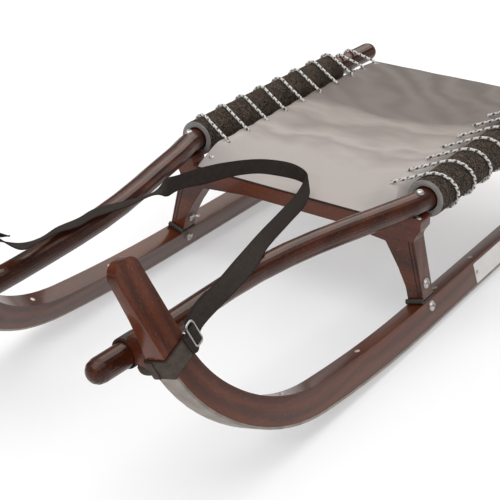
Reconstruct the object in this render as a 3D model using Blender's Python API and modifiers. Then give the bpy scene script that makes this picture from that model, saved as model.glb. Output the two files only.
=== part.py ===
# Sport luge: two leaning wooden runners with horns, two arches, two round spars in foam
# sleeves, a laced seat sheet and a steering strap.
# Metres. X runs across (plus is the rider's left), the horns point to -Y, Z is up.
import math

import bpy
import bmesh
import numpy as np
from mathutils import Matrix, Vector

# Fits and cuts
gap = 0.0003
cut_over = 0.006

# Stations along the luge, counted from the front ends of the sleeves
sleeve_front = 0.0268

# Runners
runner_width = 0.0257
runner_depth = 0.0372
runner_lean = math.radians(17.77)
track_half = 0.2012
runner_tail = 0.400
rocker_start = -0.050
rocker_radius = 2.2
bend_start = -0.295
low_bend_radius = 0.291
low_bend_angle = math.radians(47.1)
high_bend_radius = 0.2153
horn_angle = math.radians(72.15)
horn_top = 0.307
horn_tip_round = 0.0135
tail_round = 0.020
runner_edge = 0.0022
bend_steps = 11

# Steel under the runners
rail_thick = 0.003
rail_stop_angle = math.radians(68)

# Scoop on the inner side of a horn: depth of cut against height up the lean
scoop_depth = 0.0145
scoop_low = 0.192
scoop_top = 0.330
scoop_shares = ((0.0, 0.0), (0.10, 0.22), (0.22, 0.48), (0.38, 0.72), (0.60, 0.90), (1.0, 1.0))

# Spars
spar_radius = 0.0156
spar_tip_radius = 0.0144
spar_tail = 0.520
spar_height = 0.1765
spar_sides = 24
spar_half_span = 0.1875
spar_tip_lead = 0.0704  # from the middle of the horn to the tip
spar_route = (  # share of the bare length, inwards from the sleeve's line, above the sleeve's line
    (0.0523, 0.0050, 0.0000), (0.1203, 0.0165, -0.0003), (0.1918, 0.0270, 0.0007),
    (0.2607, 0.0373, 0.0015), (0.3400, 0.0490, 0.0019), (0.4211, 0.0590, 0.0019),
    (0.5109, 0.0670, 0.0017), (0.6016, 0.0713, 0.0012), (0.6922, 0.0732, 0.0003),
    (0.7820, 0.0745, -0.0005), (0.8718, 0.0760, -0.0003), (1.0, 0.0780, 0.0000))
tip_round_shares = ((0.0, 1.0), (0.45, 0.90), (0.75, 0.68), (0.93, 0.38), (1.0, 0.0))

# Foam sleeves
sleeve_wall = 0.0103
sleeve_length = 0.413
sleeve_sides = 32

# Arches
arch_thick = 0.028
front_arch_station = -0.021
rear_arch_station = 0.3250
bar_top = 0.148
bar_middle_low = 0.1265
bar_hump_half = 0.075
bar_end_low = 0.1190
bar_end_inwards = 0.0370
bar_under_round = 0.05
leg_foot_narrow = 0.0012
leg_ankle_inwards = 0.0050
leg_ankle_up = 0.020
leg_knee_inwards = 0.0157
leg_knee_height = 0.0850
leg_round = 0.04
leg_top_outwards = 0.0040
leg_top_height = 0.1320
leg_top_round = 0.012
head_out = 0.0125
head_in = 0.0205
head_slope = 0.002
head_top = 0.1622
head_deep = 0.016
head_round = 0.006
corner_round = 0.004
arch_edge = 0.0012

# Rubber pads between the arches and the runners
pad_thick = 0.003
pad_bead = 0.0038
pad_lead = 0.002

# Seat sheet
sheet_thick = 0.0014
sheet_front = -0.034
sheet_tail = 0.4475
lace_line_inwards = 0.0540  # from the sleeve's line to the row of holes
hole_inset = 0.0100
tab_inwards = 0.0240
tab_round = 0.009
sheet_scallop = 0.003
sheet_rim_high = 0.183
sheet_middle_high = 0.1765
rim_rise = 0.035
middle_rise = 0.117
tail_rise_start = 0.300
level_share = 0.36  # flat middle of the seat against its half width at the holes
lace_hole_radius = 0.0034
hole_pitch = 0.051
first_hole = 0.0045
sleeve_holes = 7
rear_holes = (0.361, 0.402, 0.4385)
row_count = 36
column_shares = (-1.0, -0.93, -0.65, -0.33, 0.0, 0.33, 0.65, 0.93, 1.0)

# Lacing
lace_radius = 0.0022
lace_sides = 6
lace_steps = 10
lace_slack = 0.0006
# Share of the way to the next hole against the angle travelled round the sleeve
sleeve_advance = ((-2.0, 0.22), (-1.4, 0.38), (0.0, 0.68), (0.8, 0.76), (1.57, 0.82), (2.4, 0.88))
end_turn = math.radians(-70)

# Straps: one tight band round each horn and one round each spar
strap_wide = 0.0245
strap_thick = 0.0016
horn_band_up = 0.1861
horn_band_tilt = math.radians(72)
spar_band_lead = 0.006
hull_sides = 10

# Blocks between horns and spars
block_low = 0.168
block_high = 0.214
block_lead = 0.007
block_long = 0.026
block_round = 0.003
block_cradle_share = 0.35

# Free webbing between the two horns: both edges of the band, left end first
web_edges = (  # upper edge, then lower edge: across, station, height
    ((0.1669, -0.4970, 0.2037), (0.1744, -0.4860, 0.1804)),
    ((0.1668, -0.4885, 0.2045), (0.1742, -0.4775, 0.1812)),
    ((0.1586, -0.4773, 0.2115), (0.1649, -0.4642, 0.1918)),
    ((0.1511, -0.4544, 0.2160), (0.1610, -0.4422, 0.1972)),
    ((0.1370, -0.3850, 0.2160), (0.1520, -0.3750, 0.2020)),
    ((0.1200, -0.3240, 0.2135), (0.1400, -0.3250, 0.2010)),
    ((0.0960, -0.2515, 0.2050), (0.1155, -0.2625, 0.1930)),
    ((0.0560, -0.1400, 0.1830), (0.0740, -0.1520, 0.1690)),
    ((0.0365, -0.0770, 0.1740), (0.0509, -0.0859, 0.1580)),
    ((0.0254, -0.0430, 0.1740), (0.0353, -0.0473, 0.1540)),
    ((0.0190, -0.0230, 0.1780), (0.0190, -0.0170, 0.1545)),
    ((0.0080, -0.0230, 0.1860), (0.0045, -0.0180, 0.1620)),
    ((-0.0100, -0.0320, 0.1930), (-0.0140, -0.0310, 0.1690)),
    ((-0.0398, -0.0516, 0.1965), (-0.0450, -0.0490, 0.1730)),
    ((-0.0675, -0.0857, 0.1970), (-0.0660, -0.0800, 0.1750)),
    ((-0.0847, -0.1241, 0.1975), (-0.0816, -0.1242, 0.1760)),
    ((-0.0930, -0.1680, 0.2000), (-0.0950, -0.1640, 0.1780)),
    ((-0.1016, -0.2104, 0.1885), (-0.0868, -0.2285, 0.1958)),
    ((-0.1047, -0.2530, 0.1940), (-0.0890, -0.2716, 0.1968)),
    ((-0.1206, -0.2982, 0.1955), (-0.1045, -0.3167, 0.1946)),
    ((-0.1195, -0.3329, 0.1955), (-0.1032, -0.3512, 0.1955)),
    ((-0.1219, -0.3680, 0.1965), (-0.1053, -0.3856, 0.2002)),
    ((-0.1110, -0.4084, 0.2015), (-0.0945, -0.4251, 0.2080)),
    ((-0.1150, -0.4380, 0.2055), (-0.0990, -0.4540, 0.2090)),
    ((-0.1610, -0.4422, 0.1972), (-0.1511, -0.4544, 0.2160)),
    ((-0.1649, -0.4642, 0.1918), (-0.1586, -0.4773, 0.2115)),
    ((-0.1742, -0.4775, 0.1812), (-0.1668, -0.4885, 0.2045)),
    ((-0.1744, -0.4860, 0.1804), (-0.1669, -0.4970, 0.2037)))
web_steps = 4

mahogany = (0.105, 0.030, 0.016, 1.0)
steel_grey = (0.55, 0.55, 0.56, 1.0)
foam_grey = (0.045, 0.040, 0.038, 1.0)
rubber_dark = (0.030, 0.026, 0.025, 1.0)
cloth_grey = (0.47, 0.43, 0.41, 1.0)
lace_white = (0.72, 0.70, 0.66, 1.0)
web_dark = (0.035, 0.031, 0.029, 1.0)

left, right = 1, -1
side_names = {left: "left", right: "right"}


def clear_scene():
    for thing in list(bpy.data.objects):
        bpy.data.objects.remove(thing, do_unlink=True)


def new_collection(name):
    group = bpy.data.collections.new(name)
    bpy.context.scene.collection.children.link(group)
    return group


def material(name, colour, rough, metal=0.0):
    mat = bpy.data.materials.new(name)
    mat.use_nodes = True
    shader = mat.node_tree.nodes["Principled BSDF"]
    shader.inputs["Base Color"].default_value = colour
    shader.inputs["Roughness"].default_value = rough
    shader.inputs["Metallic"].default_value = metal
    return mat


def add_mesh(name, mesh, group, mat=None):
    mesh.name = name
    obj = bpy.data.objects.new(name, mesh)
    group.objects.link(obj)
    if mat:
        mesh.materials.clear()
        mesh.materials.append(mat)
    return obj


def clean_mesh(obj):
    """Mesh of an object with its modifiers applied, welded, faces out."""
    graph = bpy.context.evaluated_depsgraph_get()
    mesh = bpy.data.meshes.new_from_object(obj.evaluated_get(graph))
    mesh.transform(obj.matrix_world)
    work = bmesh.new()
    work.from_mesh(mesh)
    bmesh.ops.remove_doubles(work, verts=work.verts, dist=0.00001)
    bmesh.ops.recalc_face_normals(work, faces=work.faces)
    work.to_mesh(mesh)
    work.free()
    return mesh


def bake(obj, group, mat, name=None):
    """Replace an object by a plain mesh of its final shape."""
    name = name or obj.name
    mesh = clean_mesh(obj)
    bpy.data.objects.remove(obj, do_unlink=True)
    return add_mesh(name, mesh, group, mat)


def slab(name, outline, thick, group):
    """Flat filled outline in local XY with its thickness from z = 0 up to thick."""
    curve = bpy.data.curves.new(name, "CURVE")
    curve.dimensions = "2D"
    curve.fill_mode = "BOTH"
    curve.extrude = thick / 2
    line = curve.splines.new("POLY")
    line.points.add(len(outline) - 1)
    for point, (across, up) in zip(line.points, outline):
        point.co = (across, up, 0, 1)
    line.use_cyclic_u = True
    obj = bpy.data.objects.new(name, curve)
    group.objects.link(obj)
    obj.matrix_world = Matrix.Translation((0, 0, thick / 2))
    bpy.context.view_layer.update()
    mesh = clean_mesh(obj)
    bpy.data.objects.remove(obj, do_unlink=True)
    return add_mesh(name, mesh, group)


def tube(name, points, radii, sides, group, closed=False):
    """Round rod along a list of points, one radius each."""
    curve = bpy.data.curves.new(name, "CURVE")
    curve.dimensions = "3D"
    curve.bevel_depth = 1.0
    curve.bevel_resolution = max(0, (sides - 4) // 2)
    curve.use_fill_caps = True
    line = curve.splines.new("POLY")
    line.points.add(len(points) - 1)
    for point, place, radius in zip(line.points, points, radii):
        point.co = (*place, 1)
        point.radius = radius
    line.use_cyclic_u = closed
    obj = bpy.data.objects.new(name, curve)
    group.objects.link(obj)
    bpy.context.view_layer.update()
    mesh = clean_mesh(obj)
    bpy.data.objects.remove(obj, do_unlink=True)
    return add_mesh(name, mesh, group)


def box(name, centre, size, group):
    work = bmesh.new()
    bmesh.ops.create_cube(work, size=1.0, matrix=Matrix.Translation(centre) @ Matrix.Diagonal((*size, 1)))
    mesh = bpy.data.meshes.new(name)
    work.to_mesh(mesh)
    work.free()
    return add_mesh(name, mesh, group)


def cut(obj, cutter):
    step = obj.modifiers.new("cut", "BOOLEAN")
    step.operation = "DIFFERENCE"
    step.solver = "EXACT"
    step.object = cutter
    cutter.display_type = "WIRE"
    cutter.hide_render = True


def round_edges(obj, width, segments=2):
    step = obj.modifiers.new("edges", "BEVEL")
    step.width = width
    step.segments = segments
    step.limit_method = "ANGLE"
    step.angle_limit = math.radians(35)


def smooth(obj, angle=math.radians(30)):
    obj.data.shade_smooth()
    obj.data.set_sharp_from_angle(angle=angle)
    return obj


def mirrored(obj, name, group):
    mesh = obj.data.copy()
    mesh.transform(Matrix.Diagonal((-1, 1, 1, 1)))
    mesh.flip_normals()
    return add_mesh(name, mesh, group, obj.data.materials[0])


def rounded(corners, steps=4):
    """Outline with each corner ((x, y), radius) turned into an arc."""
    out = []
    count = len(corners)
    for index, (corner, radius) in enumerate(corners):
        here = Vector(corner)
        if not radius:
            out.append(tuple(here))
            continue
        before = (Vector(corners[index - 1][0]) - here).normalized()
        after = (Vector(corners[(index + 1) % count][0]) - here).normalized()
        half = before.angle(after) / 2
        reach = radius / math.tan(half)
        centre = here + (before + after).normalized() * radius / math.sin(half)
        first = here + before * reach - centre
        last = here + after * reach - centre
        turn = first.angle_signed(last)
        for step in range(steps + 1):
            arm = first.copy()
            arm.rotate(Matrix.Rotation(-turn * step / steps, 2))
            out.append(tuple(centre + arm))
    return out


def sole_path():
    """Sole line of a runner from tail to horn: station, height and slope."""
    path = [(runner_tail, 0.0, 0.0), (rocker_start, 0.0, 0.0)]
    station, height, slope = path[-1]
    rocker_end = (rocker_start - bend_start) / rocker_radius
    for radius, end, steps in ((rocker_radius, rocker_end, bend_steps // 2),
                               (low_bend_radius, low_bend_angle, bend_steps),
                               (high_bend_radius, horn_angle, bend_steps // 2)):
        share = (end - slope) / steps
        for step in range(steps):
            slope += share
            station -= radius * share * math.cos(slope - share / 2)
            height += radius * share * math.sin(slope - share / 2)
            path.append((station, height, slope))
    return path


def horn_end(spot, slope):
    """Place where a line of the horn reaches its top."""
    station, height = spot
    return station - (horn_top - height) / math.tan(slope), horn_top


def offset_path(path, depth):
    return [(station + depth * math.sin(slope), height + depth * math.cos(slope))
            for station, height, slope in path]


def lean_matrix():
    """Local X along the luge, Y up the lean of the left runner, Z outwards."""
    tilt_sin, tilt_cos = math.sin(runner_lean), math.cos(runner_lean)
    return Matrix(((0, -tilt_sin, tilt_cos, track_half),
                   (1, 0, 0, sleeve_front),
                   (0, tilt_cos, tilt_sin, 0),
                   (0, 0, 0, 1)))


def lean_point(outwards, up):
    """Across and height of a place in a left runner's own section."""
    spot = lean_matrix() @ Vector((0, up, outwards))
    return spot.x, spot.z


def horn_station(up):
    """Station of a horn's middle line at a height up the lean."""
    line = offset_path(sole_path(), runner_depth / 2)
    line.append(horn_end(line[-1], horn_angle))
    stations, heights = zip(*line)
    return float(np.interp(up, heights, stations))


def spar_points():
    """Centre line of the left spar, tail to tip, with radii."""
    radii = [max(thin, 0.02) * spar_radius for along, thin in reversed(tip_round_shares)]
    points = [(spar_half_span, spar_tail - spar_radius * (1 - along), spar_height)
              for along, thin in reversed(tip_round_shares)]
    points.append((spar_half_span, 0, spar_height))
    radii.append(spar_radius)
    front = horn_station(horn_band_up) - spar_tip_lead
    for share, inwards, rise in spar_route[:-1]:
        points.append((spar_half_span - inwards, front * share, spar_height + rise))
        radii.append(spar_radius + (spar_tip_radius - spar_radius) * share)
    share, inwards, rise = spar_route[-1]
    for along, thin in tip_round_shares:
        points.append((spar_half_span - inwards, front + spar_tip_radius * (1 - along),
                       spar_height + rise))
        radii.append(max(thin, 0.02) * spar_tip_radius)
    return [(across, station + sleeve_front, height) for across, station, height in points], radii


def make_runner(side, group, tools, mat):
    path = sole_path()
    rail_path = [spot for spot in path if spot[2] <= rail_stop_angle]
    high_path = [spot for spot in path if spot[2] > rail_stop_angle]
    low = offset_path(rail_path, rail_thick + gap)
    step_station, step_height, step_slope = rail_path[-1]
    low.append(offset_path([rail_path[-1]], 0)[0])
    low += offset_path(high_path, 0)
    low.append(horn_end(low[-1], horn_angle))
    high = offset_path(path, runner_depth)
    high.append(horn_end(high[-1], horn_angle))
    outline = rounded([(low[0], 0.0)] + [(spot, 0) for spot in low[1:-1]]
                      + [(low[-1], horn_tip_round), (high[-1], horn_tip_round)]
                      + [(spot, 0) for spot in reversed(high[1:-1])]
                      + [(high[0], tail_round)], 5)
    runner = slab("runner_" + side_names[side], outline, runner_width, group)
    scoop_outline = [(-cut_over, scoop_low), (0, scoop_low)]
    scoop_outline += [(scoop_depth * deep, scoop_low + (scoop_top - scoop_low) * up)
                      for up, deep in scoop_shares[1:]]
    scoop_outline.append((-cut_over, scoop_top))
    scoop = slab("horn_scoop", scoop_outline, runner_depth * 4, tools)
    turn = Matrix(((0, 0, 1, high[-1][0] - runner_depth * 2), (0, 1, 0, 0), (1, 0, 0, 0), (0, 0, 0, 1)))
    scoop.data.transform(turn)
    scoop.data.flip_normals()
    cut(runner, scoop)
    round_edges(runner, runner_edge)
    runner = bake(runner, group, mat, runner.name)
    runner.data.transform(lean_matrix())
    bpy.data.objects.remove(scoop, do_unlink=True)
    return smooth(runner)


def make_rail(side, group, mat):
    path = [spot for spot in sole_path() if spot[2] <= rail_stop_angle]
    low = offset_path(path, 0)
    high = offset_path(path, rail_thick)
    last = path[-1]
    low[-1] = (low[-1][0] + gap * math.cos(last[2]), low[-1][1] - gap * math.sin(last[2]))
    high[-1] = (high[-1][0] + gap * math.cos(last[2]), high[-1][1] - gap * math.sin(last[2]))
    rail = slab("rail_" + side_names[side], low + list(reversed(high)), runner_width, group)
    rail.data.transform(lean_matrix())
    rail.data.materials.append(mat)
    return smooth(rail)


def make_spar(side, group, mat):
    points, radii = spar_points()
    spar = tube("spar_" + side_names[side], points, radii, spar_sides, group)
    spar.data.materials.append(mat)
    return smooth(spar, math.radians(40))


def make_sleeve(side, group, tools, mat):
    outer = spar_radius + gap + sleeve_wall
    ends = [(spar_half_span, sleeve_front, spar_height),
            (spar_half_span, sleeve_front + sleeve_length, spar_height)]
    sleeve = tube("sleeve_" + side_names[side], ends, [outer] * 2, sleeve_sides, group)
    bore_ends = [(spar_half_span, sleeve_front - cut_over, spar_height),
                 (spar_half_span, sleeve_front + sleeve_length + cut_over, spar_height)]
    bore = tube("sleeve_bore", bore_ends, [spar_radius + gap] * 2, spar_sides, tools)
    cut(sleeve, bore)
    notch = box("arch_notch", (spar_half_span, sleeve_front + rear_arch_station, head_top + gap - outer / 2),
                (outer * 2, arch_thick + gap * 2, outer), tools)
    cut(sleeve, notch)
    sleeve = bake(sleeve, group, mat, sleeve.name)
    for cutter in (bore, notch):
        bpy.data.objects.remove(cutter, do_unlink=True)
    return smooth(sleeve)


def arch_half():
    """Right half of an arch outline, from the middle of the top round to the bottom."""
    foot = runner_depth + gap + pad_thick + gap
    out_x, out_z = lean_point(runner_width - leg_foot_narrow, foot)
    in_x, in_z = lean_point(leg_foot_narrow, foot)
    top_in = spar_half_span - head_in
    top_out = spar_half_span + head_out
    return [
        ((top_in, bar_top), corner_round),
        ((top_in + head_slope, head_top), head_round),
        ((top_out, head_top), head_round),
        ((top_out, head_top - head_deep), corner_round),
        ((spar_half_span + leg_top_outwards, leg_top_height), leg_top_round),
        ((out_x, out_z), 0.0),
        ((in_x, in_z), 0.0),
        ((in_x - leg_ankle_inwards, in_z + leg_ankle_up), leg_round),
        ((spar_half_span - leg_knee_inwards, leg_knee_height), leg_round),
        ((spar_half_span - bar_end_inwards, bar_end_low), corner_round),
        ((bar_hump_half, bar_middle_low), bar_under_round),
    ]


def make_arch(name, station, group, tools, mat):
    half = arch_half()
    other = [((-x, z), r) for (x, z), r in reversed(half)]
    outline = rounded(other[5:] + half + other[:5], 4)
    arch = slab(name, outline, arch_thick, group)
    stand = Matrix(((1, 0, 0, 0), (0, 0, -1, sleeve_front + station + arch_thick / 2),
                    (0, 1, 0, 0), (0, 0, 0, 1)))
    arch.data.transform(stand)
    round_edges(arch, arch_edge)
    points, radii = spar_points()
    cutters = []
    for way in (left, right):
        line = [(way * across, along, height) for across, along, height in points]
        cutter = tube("spar_seat", line, [radius + gap for radius in radii], spar_sides, tools)
        cut(arch, cutter)
        cutters.append(cutter)
    arch = bake(arch, group, mat, name)
    for cutter in cutters:
        bpy.data.objects.remove(cutter, do_unlink=True)
    return smooth(arch)


def make_pad(name, station, group, mat):
    low = runner_depth + gap
    front, back = station - arch_thick / 2 - pad_lead, station + arch_thick / 2 + pad_lead
    bead = [(front - pad_bead * math.sin(turn), low + pad_bead * (1 - math.cos(turn)))
            for turn in [math.pi * step / 8 for step in range(9)]]
    outline = bead + [(front, low + pad_thick), (back, low + pad_thick), (back, low)]
    pad = slab(name, outline, runner_width, group)
    pad.data.transform(lean_matrix())
    pad.data.materials.append(mat)
    return smooth(pad)


def eased(share):
    share = min(1.0, max(0.0, share))
    return share * share * (3 - 2 * share)


def sheet_height(station, across_share=1.0):
    """Height of the sheet's mid-plane; the share runs from the middle to the row of holes."""
    start = bar_top + gap + sheet_thick / 2
    level = front_arch_station + arch_thick / 2
    rim = start + (sheet_rim_high - start) * eased((station - sheet_front) / rim_rise)
    middle = start + (sheet_middle_high - start) * eased((station - level) / middle_rise)
    tail_share = (station - tail_rise_start) / (sheet_tail - tail_rise_start)
    middle += (sheet_rim_high - sheet_middle_high) * eased(tail_share)
    bowl = max(0.0, across_share - level_share) / (1 - level_share)
    return middle + (rim - middle) * min(1.0, bowl) ** 2


def hole_line():
    return spar_half_span - lace_line_inwards


def sheet_edge(station):
    """Half width of the sheet."""
    half, tab_half = hole_line() + hole_inset, spar_half_span - tab_inwards
    share = eased((station - sheet_front) / (first_hole - sheet_front))
    wave = 0.5 - 0.5 * math.cos(2 * math.pi * (station - first_hole) / hole_pitch)
    corner = max(0.0, tab_round - (station - sheet_front))
    corner = tab_round - math.sqrt(tab_round ** 2 - corner ** 2)
    return tab_half + (half - tab_half) * share - sheet_scallop * wave * (share >= 1) - corner


def hole_places():
    stations = [first_hole + hole_pitch * index for index in range(sleeve_holes)]
    return [(hole_line(), station) for station in stations + list(rear_holes)]


def make_sheet(group, tools, mat):
    rows = [sheet_front + tab_round * share for share in (0.0, 0.1, 0.3, 0.6)]
    rows += [sheet_front + tab_round + (sheet_tail - sheet_front - tab_round) * step / row_count
             for step in range(row_count + 1)]
    work = bmesh.new()
    grid = [[work.verts.new((sheet_edge(row) * share, row + sleeve_front,
                             sheet_height(row, abs(sheet_edge(row) * share) / hole_line()) - sheet_thick / 2))
             for share in column_shares] for row in rows]
    for first, second in zip(grid, grid[1:]):
        for index in range(len(column_shares) - 1):
            work.faces.new((first[index], first[index + 1], second[index + 1], second[index]))
    mesh = bpy.data.meshes.new("seat_sheet")
    work.to_mesh(mesh)
    work.free()
    sheet = add_mesh("seat_sheet", mesh, group)
    step = sheet.modifiers.new("thickness", "SOLIDIFY")
    step.thickness = sheet_thick
    step.offset = 1.0
    drills = []
    for across, station in hole_places():
        for way in (left, right):
            height = sheet_height(station)
            drill = tube("lace_hole", [(way * across, station + sleeve_front, height - cut_over),
                                       (way * across, station + sleeve_front, height + cut_over)],
                         [lace_hole_radius] * 2, 10, tools)
            cut(sheet, drill)
            drills.append(drill)
    sheet = bake(sheet, group, mat, "seat_sheet")
    for drill in drills:
        bpy.data.objects.remove(drill, do_unlink=True)
    return smooth(sheet)


def wrap_points(hole, next_station, round_wrap, stop=None):
    """Turn of the cord round a sleeve or spar, from one hole of the sheet to the next station."""
    across, station = hole
    rise = sheet_height(station) - spar_height
    reach = math.hypot(across - spar_half_span, rise)
    towards = math.atan2(rise, across - spar_half_span) % (2 * math.pi)
    open_angle = math.acos(min(1.0, round_wrap / reach))
    first, last = towards - open_angle, towards + open_angle - 2 * math.pi
    last = last if stop is None else stop
    angles, shares = zip(*sleeve_advance)
    round_wrap /= math.cos((first - last) / lace_steps / 2)  # chords stay outside the round
    points = []
    for step in range(lace_steps + 1):
        swing = first + (last - first) * step / lace_steps
        along = float(np.interp(-swing, angles, shares))
        points.append((spar_half_span + round_wrap * math.cos(swing),
                       station + (next_station - station) * along,
                       spar_height + round_wrap * math.sin(swing)))
    return points


def hole_points(hole):
    """The cord's turn up through one hole, round the sheet's rim."""
    across, station = hole
    turn_radius = sheet_thick / 2 + gap + lace_radius + lace_slack
    return [(across + turn_radius * (1 + math.cos(swing)), station,
             sheet_height(station) + turn_radius * math.sin(swing))
            for swing in [math.radians(turn) for turn in (-90, -135, -180, -225, -270)]]


def make_lacing(side, group, mat):
    """One cord wound round sleeve and sheet, along its whole route."""
    sleeve_wrap = spar_radius + gap + sleeve_wall + gap + lace_radius
    bare_wrap = spar_radius + gap + lace_radius
    holes = hole_places()
    points = hole_points(holes[0])
    for hole, next_hole in zip(holes, holes[1:]):
        on_sleeve = hole[1] < sleeve_length
        points += wrap_points(hole, next_hole[1], sleeve_wrap if on_sleeve else bare_wrap)
        points += hole_points(next_hole)
    points += wrap_points(holes[-1], holes[-1][1] + hole_pitch / 2, bare_wrap, end_turn)
    line = [(side * across, station + sleeve_front, height) for across, station, height in points]
    lace = tube("lacing_" + side_names[side], line, [lace_radius] * len(line), lace_sides, group)
    lace.data.materials.append(mat)
    return smooth(lace, math.radians(60))


def hull(points):
    """Convex outline round flat points, anticlockwise."""
    points = sorted(set(points))
    chains = []
    for run in (points, points[::-1]):
        chain = []
        for spot in run:
            while len(chain) > 1 and ((chain[-1][0] - chain[-2][0]) * (spot[1] - chain[-2][1])
                                      - (chain[-1][1] - chain[-2][1]) * (spot[0] - chain[-2][0])) <= 0:
                chain.pop()
            chain.append(spot)
        chains.append(chain[:-1])
    return chains[0] + chains[1]


def horn_band_frame():
    """Local X outwards, Y along the band's long way, Z up the horn through the band's middle."""
    sin_tilt, cos_tilt = math.sin(horn_band_tilt), math.cos(horn_band_tilt)
    turn = Matrix(((0, sin_tilt, -cos_tilt, horn_station(horn_band_up)),
                   (0, cos_tilt, sin_tilt, horn_band_up),
                   (1, 0, 0, runner_width / 2), (0, 0, 0, 1)))
    return lean_matrix() @ turn


def spar_place(station):
    """Centre of the left spar at a station in the bare length, and its radius there."""
    points, radii = spar_points()
    along = [-spot[1] for spot in points]
    spot = [float(np.interp(-station - sleeve_front, along, [point[axis] for point in points]))
            for axis in range(3)]
    return Vector(spot), float(np.interp(-station - sleeve_front, along, radii))


def spar_band_frame():
    """The same for the band round the spar, with Z along the spar."""
    station = horn_station(horn_band_up) - spar_band_lead
    ahead, behind = [spar_place(station + way * strap_wide / 2)[0] for way in (-1, 1)]
    along = (behind - ahead).normalized()
    wide = Vector((1, 0, 0))
    wide = (wide - along * wide.dot(along)).normalized()
    turn = Matrix((wide, along.cross(wide), along)).transposed().to_4x4()
    return Matrix.Translation((ahead + behind) / 2) @ turn


def make_block(side, group, tools, mat):
    skin = gap * 3 + strap_thick  # room for the band round the horn
    station = horn_station(horn_band_up) - block_lead
    low, high = lean_point(-skin, block_low), lean_point(-skin, block_high)
    spot, radius = spar_place(station)
    inner = spot.x + radius * block_cradle_share
    outline = rounded([((inner, low[1]), block_round), (low, 0), (high, 0),
                       ((inner, high[1]), block_round)])
    block = slab("horn_block_" + side_names[side], outline, block_long, group)
    stand = Matrix(((1, 0, 0, 0), (0, 0, -1, sleeve_front + station + block_long / 2),
                    (0, 1, 0, 0), (0, 0, 0, 1)))
    block.data.transform(stand)
    points, radii = spar_points()
    cutters = [tube("spar_seat", points, [radius + gap for radius in radii], spar_sides, tools)]
    frame = spar_band_frame()
    reach = strap_wide / 2 + gap * 2
    ends = [frame @ Vector((0, 0, way * reach)) for way in (-1, 1)]
    cutters.append(tube("band_seat", ends, [radius + gap * 4 + strap_thick] * 2, spar_sides, tools))
    for cutter in cutters:
        cut(block, cutter)
    block = bake(block, group, mat, block.name)
    for cutter in cutters:
        bpy.data.objects.remove(cutter, do_unlink=True)
    return smooth(block)


def make_band(name, held, frame, group, tools, mat):
    """Closed band round everything of the held object that lies within its width."""
    back = frame.inverted()
    spots = []
    half = strap_wide / 2
    for edge in held.data.edges:
        first, last = [back @ held.data.vertices[index].co for index in edge.vertices]
        climb = last.z - first.z
        stops = [0.0, 1.0] + [(level - first.z) / climb for level in (-half - gap, half + gap)
                              if abs(climb) > gap]
        for spot in [first.lerp(last, stop) for stop in stops if 0 <= stop <= 1]:
            if abs(spot.z) < half + gap * 2 and spot.length < runner_depth * 2:
                spots.append((round(spot.x, 5), round(spot.y, 5)))
    core = hull(spots)
    rings = []
    for spread in (gap * 2, gap * 2 + strap_thick):
        rings.append(hull([(x + spread * math.cos(turn), y + spread * math.sin(turn)) for x, y in core
                           for turn in [2 * math.pi * step / hull_sides for step in range(hull_sides)]]))
    band = slab(name, rings[1], strap_wide, group)
    core_cut = slab("band_core", rings[0], strap_wide + cut_over * 2, tools)
    core_cut.data.transform(Matrix.Translation((0, 0, -cut_over)))
    cut(band, core_cut)
    band = bake(band, group, mat, name)
    bpy.data.objects.remove(core_cut, do_unlink=True)
    band.data.transform(frame @ Matrix.Translation((0, 0, -half)))
    return smooth(band)


def spline(points, steps):
    """Smooth line through all the points."""
    ends = [2 * Vector(points[0]) - Vector(points[1])] + [Vector(spot) for spot in points]
    ends.append(2 * Vector(points[-1]) - Vector(points[-2]))
    line = []
    for index in range(1, len(ends) - 2):
        before, start, end, after = ends[index - 1:index + 3]
        for step in range(steps):
            share = step / steps
            line.append(0.5 * (2 * start + (end - before) * share
                               + (2 * before - 5 * start + 4 * end - after) * share ** 2
                               + (3 * start - before - 3 * end + after) * share ** 3))
    return line + [ends[-2]]


def make_webbing(group, mat):
    """Flat strap hanging in a loop from one horn to the other."""
    upper = spline([upper for upper, lower in web_edges], web_steps)
    lower = spline([lower for upper, lower in web_edges], web_steps)
    work = bmesh.new()
    rows = []
    for high, low in zip(upper, lower):
        middle, arm = (high + low) / 2, (high - low).normalized() * strap_wide / 2
        rows.append([work.verts.new(middle + arm * share + Vector((0, sleeve_front, 0)))
                     for share in (-1, 0, 1)])
    for first, second in zip(rows, rows[1:]):
        for index in range(2):
            work.faces.new((first[index], first[index + 1], second[index + 1], second[index]))
    mesh = bpy.data.meshes.new("steering_strap")
    work.to_mesh(mesh)
    work.free()
    strap = add_mesh("steering_strap", mesh, group)
    step = strap.modifiers.new("thickness", "SOLIDIFY")
    step.thickness = strap_thick
    step.offset = 0.0
    return smooth(bake(strap, group, mat, "steering_strap"))


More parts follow.
